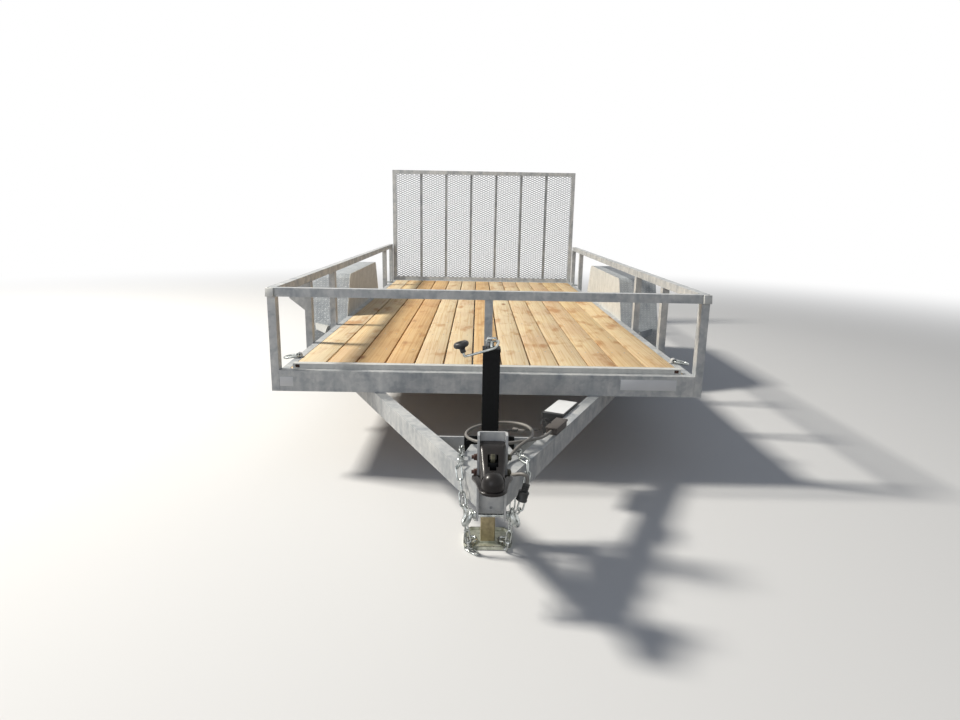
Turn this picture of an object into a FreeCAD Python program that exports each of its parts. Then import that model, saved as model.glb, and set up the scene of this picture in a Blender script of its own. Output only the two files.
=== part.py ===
import FreeCAD, Part
import math
import os
import re

import Sketcher
from FreeCAD import Vector

# Tandem utility trailer with a plank deck, tube rails, a mesh ramp gate and a jack.
# The nose points to -Y, +X is the right-hand side seen from the nose, the ground is Z = 0.

# Driving sizes in millimetres, each with the words that say what it measures.
SIZES = [
    ("deck_length", 4267, "front face to rear face of the frame"),
    ("frame_half", 1002, "centreline to the outer face of a side member"),
    ("frame_bottom", 408, "ground to the underside of the frame"),
    ("frame_depth", 102, "height of the side members"),
    ("flange", 38, "width of the side members' flanges"),
    ("sill_depth", 50, "front to back size of the end crossmembers"),
    ("steel", 5, "wall of the frame's channels"),
    ("thin_steel", 3, "wall of rails, posts, fenders and light tube"),
    ("board_count", 13, "boards across the deck"),
    ("board_margin", 40, "outer face of a side member to the nearest board"),
    ("board_thick", 38, "thickness of one board"),
    ("board_gap", 9, "gap between two boards"),
    ("joist_count", 8, "crossmembers under the boards"),
    ("joist_flange", 45, "flange of a crossmember under the boards"),
    ("retainer_short", 55, "outer face of a side member to the end of the bar over the boards"),
    ("retainer_deep", 40, "front to back size of that bar"),
    ("retainer_high", 25, "height of that bar"),
    ("retainer_back", 45, "front face of the frame to that bar"),
    ("notch_long", 22, "length of the slot near each end of that bar"),
    ("notch_high", 16, "height of that slot"),
    ("rail_top", 907, "ground to the top of the rails"),
    ("rail_tube", 41, "side of the rails' square tube"),
    ("rail_over", 44, "outer face of a side member to the outer face of a side rail"),
    ("rail_bevel", 29, "cut across the rails' front corners"),
    ("post_wide", 38, "post size across the trailer"),
    ("post_deep", 50, "post size along the trailer"),
    ("post_second", 650, "front face to the second post"),
    ("post_third", 1275, "front face to the third post"),
    ("post_fourth", 571, "rear face to the fourth post"),
    ("fender_wide", 268, "outer face of a side member to the fenders' outer face"),
    ("fender_top", 805, "ground to the fenders' top"),
    ("fender_foot", 450, "ground to the fenders' lower edge"),
    ("fender_over", 375, "length of the fenders' flat top beyond the distance between the axles"),
    ("fender_lean", 25, "lean of the fenders' ends in degrees"),
    ("fender_radius", 60, "radius of the fenders' top corners"),
    ("fender_lip", 60, "height of the fenders' outer lip"),
    ("axle_back", 253.5, "middle of the frame to the middle of the axle pair"),
    ("axle_spacing", 840, "distance between the axles"),
    ("axle_radius", 38, "radius of an axle tube"),
    ("axle_short", 2, "outer face of a side member to an axle tube's end"),
    ("spindle_radius", 25, "radius of an axle spindle"),
    ("tyre_out", 145, "outer face of a side member to the middle of a tyre"),
    ("tyre_radius", 343, "radius of a tyre"),
    ("tyre_width", 205, "width of a tyre"),
    ("rim_radius", 190, "radius of a rim where the tyre sits"),
    ("rim_width", 156, "width of a rim"),
    ("shoulder", 25, "side of a tyre to the edge of its tread"),
    ("disc_out", 8, "middle of a tyre to the inner face of its rim's disc"),
    ("disc_thick", 8, "thickness of a rim's disc"),
    ("bed_drop", 16, "depth of a rim's bed below the tyre's seat"),
    ("spindle_over", 30, "middle of a tyre to the end of its spindle"),
    ("hub_out", 60, "middle of a tyre to the outer end of its hub"),
    ("hub_wall", 8, "wall of a hub"),
    ("spring_sag", 45, "drop of a leaf spring between its ends and its middle"),
    ("spring_wide", 40, "width of a leaf"),
    ("leaf_thick", 8, "thickness of a leaf"),
    ("leaf_count", 3, "leaves in a spring"),
    ("eye_bolt", 8, "radius of the bolts through the springs' eyes"),
    ("eye_wall", 6, "wall of a spring's eye"),
    ("hanger_long", 50, "length of a spring hanger along the trailer"),
    ("rocker_high", 32, "height of an equaliser's plates"),
    ("rocker_long", 180, "distance between an equaliser's outer bolts"),
    ("pin_gap", 0.05, "gap between a pin and its bore"),
    ("side_gap", 0.3, "gap between pieces that lie side by side on a pin"),
    ("tongue_reach", 1240, "front face to the coupler's nose"),
    ("tongue_wide", 51, "width of a tongue beam"),
    ("tongue_deep", 89, "height of a tongue beam"),
    ("tongue_wall", 5, "wall of a tongue beam"),
    ("tongue_joint", 29.8, "web of the coupler channel to the place where the beams' inner sides meet"),
    ("tongue_angle", 25.7, "angle of a beam to the centreline in degrees"),
    ("tongue_tail", 600, "length of the beams under the frame, front face to their end"),
    ("crossbar_behind", 440, "web of the coupler channel to the front of the tongue's crossbar"),
    ("crossbar_deep", 10, "thickness of the tongue's crossbar"),
    ("apex_tail", 70, "half the width of the plate over the tongue's tip where it meets the jack"),
    ("coupler_long", 190, "web of the coupler channel to the coupler's nose"),
    ("channel_wide", 96, "width of the coupler channel"),
    ("channel_wall", 7, "wall of the coupler channel"),
    ("channel_bend", 12, "outer radius of the coupler channel's bends"),
    ("channel_deep", 42, "front to back size of the coupler channel"),
    ("channel_bottom", 297, "ground to the channel's lower end"),
    ("channel_top", 588, "ground to the channel's upper end"),
    ("bolt_pitch", 50, "distance between the holes in the channel"),
    ("bolt_radius", 8, "radius of the coupler's bolts"),
    ("bolt_low", 461, "ground to the coupler's lower bolt"),
    ("bolt_ahead", 28, "web of the coupler channel to the bolts"),
    ("coupler_wall", 6, "wall of the coupler"),
    ("skirt_half", 65, "half the width of the coupler's skirt"),
    ("skirt_nose", 44, "half the width of the skirt beside the ball"),
    ("skirt_thick", 7, "thickness of the coupler's skirt"),
    ("coupler_low", 450, "ground to the coupler's lower edge"),
    ("coupler_high", 560, "ground to the coupler's upper edge"),
    ("coupler_brow", 512, "ground to the lower end of the coupler's slope"),
    ("ball_radius", 26, "radius of the socket for a 50.8 mm ball"),
    ("dome_radius", 35, "radius of the coupler's dome over the ball"),
    ("ball_behind", 42, "coupler's nose to the middle of its socket"),
    ("jack_behind", 380, "web of the coupler channel to the jack's axis"),
    ("jack_tube_side", 63.5, "side of the jack's outer tube"),
    ("jack_wall", 3.2, "wall of the jack's outer tube"),
    ("jack_cap", 6, "thickness of the jack's cap and of its mounting plates"),
    ("jack_plate", 98, "half the width of the jack's mounting plate"),
    ("crank_wire", 5, "radius of the crank's bar"),
    ("knob_radius", 28, "radius of the crank's knob"),
    ("knob_high", 30, "height of the knob's head"),
    ("crank_out", 99, "centreline to the bend below the crank's knob"),
    ("crank_drop", 27, "jack's top to that bend"),
    ("crank_lean", 16, "lean of the crank's knob in degrees"),
    ("hood_wide", 42, "width of the hood that holds the crank"),
    ("hood_deep", 24, "front to back size of that hood"),
    ("hood_high", 39, "height of that hood"),
    ("hood_wall", 4, "wall of that hood"),
    ("jack_top", 774, "ground to the top of the jack's outer tube"),
    ("jack_bottom", 330, "ground to the lower end of the jack's outer tube"),
    ("leg_gap", 0.3, "gap between the jack's leg and its outer tube"),
    ("leg_top", 460, "ground to the top of the jack's leg"),
    ("foot_long", 188, "jack foot size across the trailer"),
    ("foot_deep", 160, "jack foot size along the trailer"),
    ("foot_corner", 28, "cut across the foot's corners"),
    ("foot_thick", 8, "thickness of the jack's foot"),
    ("gate_short", 2, "outer face of a side member to the gate's outer face"),
    ("gate_bottom", 510, "ground to the gate's lower edge"),
    ("gate_top", 1703, "ground to the gate's upper edge"),
    ("gate_tube", 38, "side of the gate's square tube"),
    ("gate_gap", 5, "gap between the frame and the gate"),
    ("gate_bays", 7, "bays between the gate's upright bars"),
    ("gate_bar", 25, "side of an upright bar in the gate"),
    ("mesh_wide", 61, "width of one opening in the mesh"),
    ("mesh_high", 25.4, "height of one opening in the mesh"),
    ("strand_wide", 4, "width of one strand of the mesh"),
    ("strand_thick", 1.5, "thickness of one strand of the mesh"),
    ("hinge_back", 51, "rear face of the frame to the gate's hinge axis"),
    ("hinge_height", 488, "ground to the gate's hinge axis"),
    ("hinge_pin", 8, "radius of the gate's hinge pins"),
    ("hinge_lug", 16, "radius of the gate's hinge lugs"),
    ("hinge_in", 242, "outer face of a side member to the middle of a gate hinge"),
    ("hinge_ear", 10, "thickness of a hinge's ear on the frame"),
    ("lug_long", 30, "length of a hinge's lug on the gate"),
    ("ring_wire", 6, "radius of a tie ring's bar"),
    ("ring_wide", 76, "width of a tie ring"),
    ("ring_long", 90, "length of a tie ring"),
    ("ring_droop", 10, "angle of a tie ring below the level in degrees"),
    ("ring_in", 18, "outer face of a side member to the tie rings' pivots"),
    ("clip_wall", 5, "wall of the tie rings' clips"),
    ("clip_long", 28, "length of the tie rings' clips"),
    ("ring_behind", 294, "end of the frame to the nearest tie rings"),
    ("battery_lead", 45, "middle between frame and crossbar to the battery box's front corner"),
    ("battery_wide", 88, "width of the battery box"),
    ("battery_long", 212, "length of the battery box"),
    ("battery_high", 100, "height of the battery box"),
    ("battery_low", 322, "ground to the battery box's underside"),
    ("lid_lip", 3, "overhang of the boxes' lids"),
    ("junction_behind", 50, "front of the crossbar to the cable box's front corner"),
    ("junction_wide", 45, "width of the cable box"),
    ("junction_long", 130, "length of the cable box"),
    ("junction_high", 32, "height of the cable box"),
    ("lamp_in", 122, "outer face of a side member to the middle of a tail lamp"),
    ("lamp_long", 152, "length of a tail lamp"),
    ("lamp_high", 51, "height of a tail lamp"),
    ("lamp_thick", 12, "thickness of a tail lamp"),
    ("gusset_wide", 86, "width of the plate outboard of the left second post"),
    ("gusset_low", 704, "ground to that plate's lower corner"),
    ("gusset_high", 772, "ground to the lower end of its outer edge"),
    ("link_wire", 7, "side of a chain link's bar"),
    ("link_pitch", 42, "distance from one chain link to the next"),
    ("chain_bolt", 6, "radius of the bolt that carries the chains"),
    ("cable_diameter", 12, "diameter of the trailer cable"),
    ("cable_start", 78, "straight start of the cable in front of the small box"),
]

# Places and sizes that follow from the driving sizes.
DERIVED = {
    "front": "(tongue_reach - deck_length - hinge_back - hinge_lug) / 2",
    "rear": "front + deck_length",
    "frame_top": "frame_bottom + frame_depth",
    "rail_base": "rail_top - rail_tube",
    "board_base": "frame_top - board_thick",
    "board_width": "(2 * (frame_half - board_margin) - (board_count - 1) * board_gap) / board_count",
    "retainer_half": "frame_half - retainer_short",
    "rail_half": "frame_half + rail_over",
    "fender_half": "frame_half + fender_wide",
    "axle_half": "frame_half - axle_short",
    "track_half": "frame_half + tyre_out",
    "gate_half": "frame_half - gate_short",
    "hinge_half": "frame_half - hinge_in",
    "ring_axis": "frame_half - ring_in",
    "inner_half": "frame_half - steel",
    "joist_depth": "frame_depth - board_thick - steel",
    "axle_mid": "front + deck_length / 2 + axle_back",
    "fender_flat": "axle_spacing + fender_over",
    "spring_half": "frame_half - flange / 2",
    "spring_span": "axle_spacing - rocker_long",
    "spring_radius": "(spring_span ^ 2 / 4 + spring_sag ^ 2) / (2 * spring_sag)",
    "spring_low": "tyre_radius - axle_radius",
    "eye_height": "spring_low + spring_sag + eye_bolt",
    "tongue_top": "frame_bottom",
    "tongue_low": "frame_bottom - tongue_deep",
    "channel_ahead": "tongue_reach - coupler_long",
    "tongue_inner": "(channel_ahead - tongue_joint) * tan(tongue_angle * 1 deg)",
    "jack_ahead": "channel_ahead - jack_behind",
    "jack_y": "front - jack_ahead",
    "crossbar_ahead": "channel_ahead - crossbar_behind",
    "crossbar_y": "front - crossbar_ahead",
    "battery_ahead": "crossbar_ahead / 2 + battery_lead",
    "junction_ahead": "crossbar_ahead - junction_behind",
    "web_y": "front - channel_ahead",
    "coupler_wide": "channel_wide - 2 * channel_wall - 2 * side_gap",
    "bolt_y": "front - channel_ahead - bolt_ahead",
    "leg_side": "jack_tube_side - 2 * jack_wall - 2 * leg_gap",
    "gate_y": "rear + gate_gap",
    "gate_mid": "rear + gate_gap + gate_tube / 2",
    "hinge_y": "rear + hinge_back",
}

SIDES = [("left", -1), ("right", 1)]

doc = FreeCAD.newDocument("utility_trailer")
sheet = doc.addObject("Spreadsheet::Sheet", "sizes")
for row, (alias, number, words) in enumerate(SIZES, start=1):
    sheet.set(f"A{row}", words)
    sheet.set(f"B{row}", str(number))
    sheet.setAlias(f"B{row}", alias)
doc.recompute()

ALIASES = {alias for alias, number, words in SIZES}
subparts = []


def expand(text):
    """Write out the derived names and point each size at its cell."""

    def swap(match):
        word = match.group()
        if word in DERIVED:
            return "(" + expand(DERIVED[word]) + ")"
        return "sizes." + word if word in ALIASES else word

    return re.sub(r"[A-Za-z_]\w*", swap, str(text))


def amount(text):
    """The number that an expression stands for now."""
    return float(sheet.evalExpression(expand(text)))


def bind(thing, prop, text):
    thing.setExpression(prop, expand(text))


def place(thing, corner, turn=None):
    """Bind a thing's place, and its turn about Z in degrees, to the sheet."""
    for axis, text in zip("xyz", corner):
        bind(thing, f"Placement.Base.{axis}", text)
    if turn is not None:
        thing.Placement.Rotation = FreeCAD.Rotation(Vector(0, 0, 1), 1)
        bind(thing, "Placement.Rotation.Angle", turn)


def keep(thing, node):
    """Name a finished sub-part after its node."""
    thing.Label = node
    subparts.append(thing)
    return thing


def box(name, corner, extent, turn=None):
    thing = doc.addObject("Part::Box", name)
    for prop, text in zip(("Length", "Width", "Height"), extent):
        bind(thing, prop, text)
    place(thing, corner, turn)
    return thing


def cylinder(name, centre, radius, length, axis):
    thing = doc.addObject("Part::Cylinder", name)
    bind(thing, "Radius", radius)
    bind(thing, "Height", length)
    place(thing, centre)
    thing.Placement.Rotation = FreeCAD.Rotation(Vector(0, 0, 1), Vector(*axis))
    return thing


def fuse(name, things):
    thing = doc.addObject("Part::MultiFuse", name)
    thing.Shapes = things
    return thing


def group(name, things):
    thing = doc.addObject("Part::Compound", name)
    thing.Links = things
    return thing


def cut(name, base, tool):
    thing = doc.addObject("Part::Cut", name)
    thing.Base = base
    thing.Tool = tool
    return thing


def common(name, base, tool):
    thing = doc.addObject("Part::Common", name)
    thing.Base = base
    thing.Tool = tool
    return thing


def mirrored(name, source):
    thing = doc.addObject("Part::Mirroring", name)
    thing.Source = source
    thing.Normal = Vector(1, 0, 0)
    return thing


def grown(texts, step):
    return [f"{text} + ({step})" for text in texts]


def tube(name, corner, extent, wall, along, turn=None):
    """A square or oblong tube, open at both ends of one axis."""
    outer = box(name + "_outer", corner, extent, turn)
    inner_corner = grown(corner, wall)
    inner_extent = grown(extent, f"-2 * ({wall})")
    inner_corner[along] = f"{corner[along]} - 1"
    inner_extent[along] = f"{extent[along]} + 2"
    inner = box(name + "_inner", inner_corner, inner_extent, turn)
    return cut(name, outer, inner)


def draw(sketch, outline):
    """A closed outline whose corners are pairs of expressions."""
    count = len(outline)
    corners = [Vector(amount(across), amount(up), 0) for across, up in outline]
    for here in range(count):
        sketch.addGeometry(Part.LineSegment(corners[here], corners[(here + 1) % count]))
    for here in range(count):
        sketch.addConstraint(Sketcher.Constraint("Coincident", here, 2, (here + 1) % count, 1))
    for here, corner in enumerate(outline):
        for kind, text in zip(("DistanceX", "DistanceY"), corner):
            number = sketch.addConstraint(Sketcher.Constraint(kind, -1, 1, here, 1, amount(text)))
            sketch.setExpression(f"Constraints[{number}]", expand(text))


def sketch_in(body, role, outline, name):
    plane = next(item for item in body.Origin.OriginFeatures if item.Role == role)
    sketch = body.newObject("Sketcher::SketchObject", name)
    sketch.AttachmentSupport = [(plane, "")]
    sketch.MapMode = "FlatFace"
    draw(sketch, outline)
    return sketch


def pad(name, role, outline, length, corner, turn=None):
    """A body with one padded outline; XY_Plane pads to +Z, YZ_Plane to +X and XZ_Plane to -Y."""
    body = doc.addObject("PartDesign::Body", name)
    sketch = sketch_in(body, role, outline, name + "_outline")
    feature = body.newObject("PartDesign::Pad", name + "_pad")
    feature.Profile = sketch
    bind(feature, "Length", length)
    place(body, corner, turn)
    return body


def spun(name, outline, corner):
    """A body of an outline in X and radius, turned about its own X axis."""
    body = doc.addObject("PartDesign::Body", name)
    sketch = sketch_in(body, "XY_Plane", outline, name + "_outline")
    feature = body.newObject("PartDesign::Revolution", name + "_turned")
    feature.Profile = sketch
    feature.ReferenceAxis = (sketch, ["H_Axis"])
    feature.Angle = 360
    place(body, corner)
    return body


def plain(node, shape):
    """A sub-part whose solids a formula makes."""
    thing = doc.addObject("Part::Feature", node)
    thing.Shape = shape
    return keep(thing, node)


def side_members():
    """Channels that open to the middle, between the two end crossmembers."""
    length = "deck_length - 2 * sill_depth"
    start = "front + sill_depth"
    outer = box("member_outer", ["frame_half - flange", start, "frame_bottom"],
                ["flange", length, "frame_depth"])
    inner = box("member_inner", ["frame_half - flange - 1", f"{start} - 1", "frame_bottom + steel"],
                ["flange - steel + 1", f"{length} + 2", "frame_depth - 2 * steel"])
    right = cut("member_right", outer, inner)
    keep(right, "side_member_right")
    keep(mirrored("member_left", right), "side_member_left")


def end_crossmembers():
    span = ["2 * frame_half", "sill_depth", "frame_depth"]
    rows = [("front_crossmember", "front"), ("rear_crossmember", "rear - sill_depth")]
    for node, station in rows:
        corner = ["-frame_half", station, "frame_bottom"]
        keep(tube(node + "_tube", corner, span, "steel", 0), node)


def deck():
    """Channels across the frame, the boards on them and the bar over the boards' front ends."""
    joists = []
    room = "(deck_length - 2 * sill_depth - joist_flange) / (joist_count + 1)"
    for number in range(1, int(amount("joist_count")) + 1):
        station = f"front + sill_depth + {room} * {number}"
        joists.append(joist(number, station))
    keep(group("joists", joists), "deck_crossmembers")
    boards = []
    half = "(board_count * board_width + (board_count - 1) * board_gap) / 2"
    for number in range(int(amount("board_count"))):
        corner = [f"{number} * (board_width + board_gap) - {half}", "front + sill_depth", "board_base"]
        extent = ["board_width", "deck_length - 2 * sill_depth", "board_thick"]
        boards.append(box(f"board_{number}", corner, extent))
    keep(group("boards", boards), "deck_boards")
    corner = ["-retainer_half", "front + retainer_back", "frame_top"]
    extent = ["2 * retainer_half", "retainer_deep", "retainer_high"]
    bar = tube("retainer", corner, extent, "thin_steel", 0)
    slots = [box(f"retainer_slot_{way}",
                 [f"{way} * (retainer_half - notch_long) - notch_long / 2", "front + retainer_back - 1",
                  "frame_top + (retainer_high - notch_high) / 2"],
                 ["notch_long", "thin_steel + 2", "notch_high"]) for way in (-1, 1)]
    keep(cut("retainer_slotted", bar, group("retainer_slots", slots)), "board_retainer")


def joist(number, station):
    """One channel on its side under the boards, open to the rear."""
    low = "board_base - joist_depth"
    outer = box(f"joist_outer_{number}", ["-inner_half", station, low],
                ["2 * inner_half", "joist_flange", "joist_depth"])
    inner = box(f"joist_inner_{number}", ["-inner_half - 1", f"{station} + steel", f"{low} + steel"],
                ["2 * inner_half + 2", "joist_flange", "joist_depth - 2 * steel"])
    return cut(f"joist_{number}", outer, inner)


def rails():
    """Side rails with bevelled front ends, the front rail between them, and the posts."""
    inside = "rail_half - rail_tube"
    outer = box("side_rail_outer", [inside, "front", "rail_base"],
                ["rail_tube", "deck_length", "rail_tube"])
    inner = box("side_rail_inner",
                [f"{inside} + thin_steel", "front + rail_bevel + thin_steel", "rail_base + thin_steel"],
                ["rail_tube - 2 * thin_steel", "deck_length", "rail_tube - 2 * thin_steel"])
    whole = cut("side_rail", outer, inner)
    tip = ["rail_half", "front"]
    wedge = pad("rail_tip", "XY_Plane", [
        [f"{tip[0]} - rail_bevel", f"{tip[1]} - 0.001"],
        [f"{tip[0]} + 0.001", f"{tip[1]} - 0.001"],
        [f"{tip[0]} + 0.001", f"{tip[1]} + rail_bevel"],
    ], "rail_tube + 2", ["0", "0", "rail_base - 1"])
    right = cut("side_rail_bevelled", whole, wedge)
    keep(right, "side_rail_right")
    keep(mirrored("side_rail_other", right), "side_rail_left")
    keep(tube("front_tube", [f"-({inside})", "front", "rail_base"],
              [f"2 * ({inside})", "rail_tube", "rail_tube"], "thin_steel", 0), "front_rail")
    stations = ["front", "front + post_second", "front + post_third", "rear - post_fourth",
                "rear - post_deep"]
    posts = []
    for number, station in enumerate(stations):
        posts.append(tube(f"post_{number}", ["frame_half", station, "frame_bottom"],
                          ["post_wide", "post_deep", "rail_base - frame_bottom"], "thin_steel", 2))
    right_posts = group("posts", posts)
    keep(right_posts, "rail_posts_right")
    keep(mirrored("posts_other", right_posts), "rail_posts_left")
    keep(tube("middle_post", ["-post_wide / 2", "front", "frame_top"],
              ["post_wide", "sill_depth / 2", "rail_base - frame_top"], "thin_steel", 2),
         "front_centre_post")
    keep(pad("gusset", "XZ_Plane", [
        ["-frame_half - post_wide", "gusset_low"],
        ["-frame_half - post_wide", "rail_base"],
        ["-frame_half - post_wide - gusset_wide", "rail_base"],
        ["-frame_half - post_wide - gusset_wide", "gusset_high"],
    ], "steel", ["0", "front + post_second + steel", "0"]), "rail_gusset")


def fender_outline(inset):
    """Side view of a fender, moved inwards by an inset and reaching its lower edge."""
    slope = "tan(fender_lean * 1 deg)"
    top = f"fender_top - ({inset})"
    slide = f"({inset}) * (1 / cos(fender_lean * 1 deg) - {slope})"
    half = f"fender_flat / 2 - ({slide})"
    foot = f"{half} + ({top} - fender_foot) * {slope}"
    return [
        [f"-({foot})", "fender_foot"],
        [f"-({half})", top],
        [half, top],
        [foot, "fender_foot"],
    ]


def pocket(body, name, role, outline, length):
    """Cut an outline out of a body, away from its sketch to the side where the body lies."""
    sketch = sketch_in(body, role, outline, name + "_outline")
    feature = body.newObject("PartDesign::Pocket", name)
    feature.Profile = sketch
    bind(feature, "Length", length)
    feature.Reversed = True
    return feature


def rounded(body, name, radius, test):
    """Round the straight edges of a body's tip that pass a test."""
    doc.recompute()
    tip = body.Tip
    names = []
    for number, edge in enumerate(tip.Shape.Edges, start=1):
        if len(edge.Vertexes) == 2 and test(edge):
            names.append(f"Edge{number}")
    feature = body.newObject("PartDesign::Fillet", name)
    feature.Base = (tip, names)
    bind(feature, "Radius", radius)
    return feature


def level(edge, height):
    return all(abs(vertex.Z - height) < 0.01 for vertex in edge.Vertexes)


def along_x(edge):
    start, end = (vertex.Point for vertex in edge.Vertexes)
    return (end - start).cross(Vector(1, 0, 0)).Length < 0.01


def fenders():
    """A bent sheet over both wheels, open below, with a lip along its outer edge."""
    width = "fender_half - frame_half"
    place_at = ["frame_half", "axle_mid", "0"]
    body = pad("fender", "YZ_Plane", fender_outline("0"), width, place_at)
    top = amount("fender_top")
    inner_top = amount("fender_top - thin_steel")
    under = fender_outline("thin_steel")
    for corner in (under[0], under[3]):
        corner[1] = "fender_foot - 1"
    pocket(body, "fender_inside", "YZ_Plane", under, f"{width} - thin_steel")
    rounded(body, "fender_inner_corners", "fender_radius - thin_steel",
            lambda edge: level(edge, inner_top) and along_x(edge))
    rounded(body, "fender_corners", "fender_radius",
            lambda edge: level(edge, top) and along_x(edge))
    lipped = fender_outline("fender_lip")
    for corner in (lipped[0], lipped[3]):
        corner[1] = "fender_foot - 1"
    pocket(body, "fender_mouth", "YZ_Plane", lipped, width)
    keep(body, "fender_right")
    keep(mirrored("fender_other", body), "fender_left")
    low = "frame_top"
    slope = "tan(fender_lean * 1 deg)"
    foot = f"fender_flat / 2 + (fender_top - {low}) * {slope}"
    panel = pad("fender_panel", "YZ_Plane", [
        [f"-({foot})", low],
        ["-fender_flat / 2", "fender_top"],
        ["fender_flat / 2", "fender_top"],
        [foot, low],
    ], "thin_steel", ["frame_half - thin_steel", "axle_mid", "0"])
    rounded(panel, "fender_panel_corners", "fender_radius",
            lambda edge: level(edge, top) and along_x(edge))
    keep(panel, "fender_panel_right")
    keep(mirrored("fender_panel_other", panel), "fender_panel_left")


def beam_outline(slope):
    """Plan of the right beam, cut square at its tail and along the centreline at its tip."""
    across = "tongue_wide / cos(tongue_angle * 1 deg)"
    meet = f"tongue_inner / ({slope})"
    return [
        ["0", f"front - ({meet})"],
        [f"tongue_inner + tongue_tail * {slope}", "front + tongue_tail"],
        [f"tongue_inner + tongue_tail * {slope} + {across}", "front + tongue_tail"],
        [f"tongue_inner + {across} - channel_ahead * {slope}", "web_y"],
        ["0", "web_y"],
    ]


def beam_hollow(slope):
    """Plan of the space inside the right beam, open at its tail."""
    wall = "tongue_wall / cos(tongue_angle * 1 deg)"
    across = "tongue_wide / cos(tongue_angle * 1 deg)"
    tail = "tongue_tail + 1"
    closed = "channel_ahead - 3 * tongue_wide"
    return [
        [f"tongue_inner + {wall} - ({closed}) * {slope}", f"front - ({closed})"],
        [f"tongue_inner + {wall} + ({tail}) * {slope}", f"front + {tail}"],
        [f"tongue_inner + {across} - {wall} + ({tail}) * {slope}", f"front + {tail}"],
        [f"tongue_inner + {across} - {wall} - ({closed}) * {slope}", f"front - ({closed})"],
    ]


def tongue_pieces():
    """Two box beams, the box bar between them and the plate over their tip."""
    slope = "tan(tongue_angle * 1 deg)"
    solid = pad("beam", "XY_Plane", beam_outline(slope), "tongue_deep", ["0", "0", "tongue_low"])
    hollow = pad("beam_hollow", "XY_Plane", beam_hollow(slope), "tongue_deep - 2 * tongue_wall",
                 ["0", "0", "tongue_low + tongue_wall"])
    beam = cut("beam_box", solid, hollow)
    keep(beam, "tongue_beam_right")
    keep(mirrored("beam_other", beam), "tongue_beam_left")
    near = f"tongue_inner - crossbar_ahead * {slope}"
    far = f"tongue_inner - (crossbar_ahead - crossbar_deep) * {slope}"
    bar = pad("crossbar", "XY_Plane", [
        [f"-({near})", "crossbar_y"],
        [near, "crossbar_y"],
        [far, "crossbar_y + crossbar_deep"],
        [f"-({far})", "crossbar_y + crossbar_deep"],
    ], "tongue_deep", ["0", "0", "tongue_low"])
    keep(bar, "tongue_crossbar")
    outer = f"tongue_inner + tongue_wide / cos(tongue_angle * 1 deg) - channel_ahead * {slope}"
    half = [
        [outer, "web_y"],
        [f"{outer} + 4 * tongue_wide * {slope}", "web_y + 4 * tongue_wide"],
        [f"{outer} + 4.2 * tongue_wide * {slope} - 0.8 * tongue_wide", "web_y + 4.2 * tongue_wide"],
        ["apex_tail", "jack_y - jack_tube_side / 2"],
    ]
    other = [[f"-({across})", along] for across, along in reversed(half)]
    plate = pad("apex_plate", "XY_Plane", half + other, "steel", ["0", "0", "tongue_top"])
    keep(plate, "tongue_apex_plate")


def coupler_side(inset):
    """Side view of the coupler: level between the flanges, then a slope down to the dome."""
    front_y = "-(coupler_long - ball_behind)"
    return [
        [f"-channel_bend - ({inset})", f"coupler_low - ({inset})"],
        [f"-channel_bend - ({inset})", f"coupler_high - ({inset})"],
        [f"-channel_deep - ({inset}) / 2", f"coupler_high - ({inset})"],
        [f"{front_y}", f"coupler_brow - 1.2 * ({inset})"],
        [f"{front_y}", f"coupler_low - ({inset})"],
    ]


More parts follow.
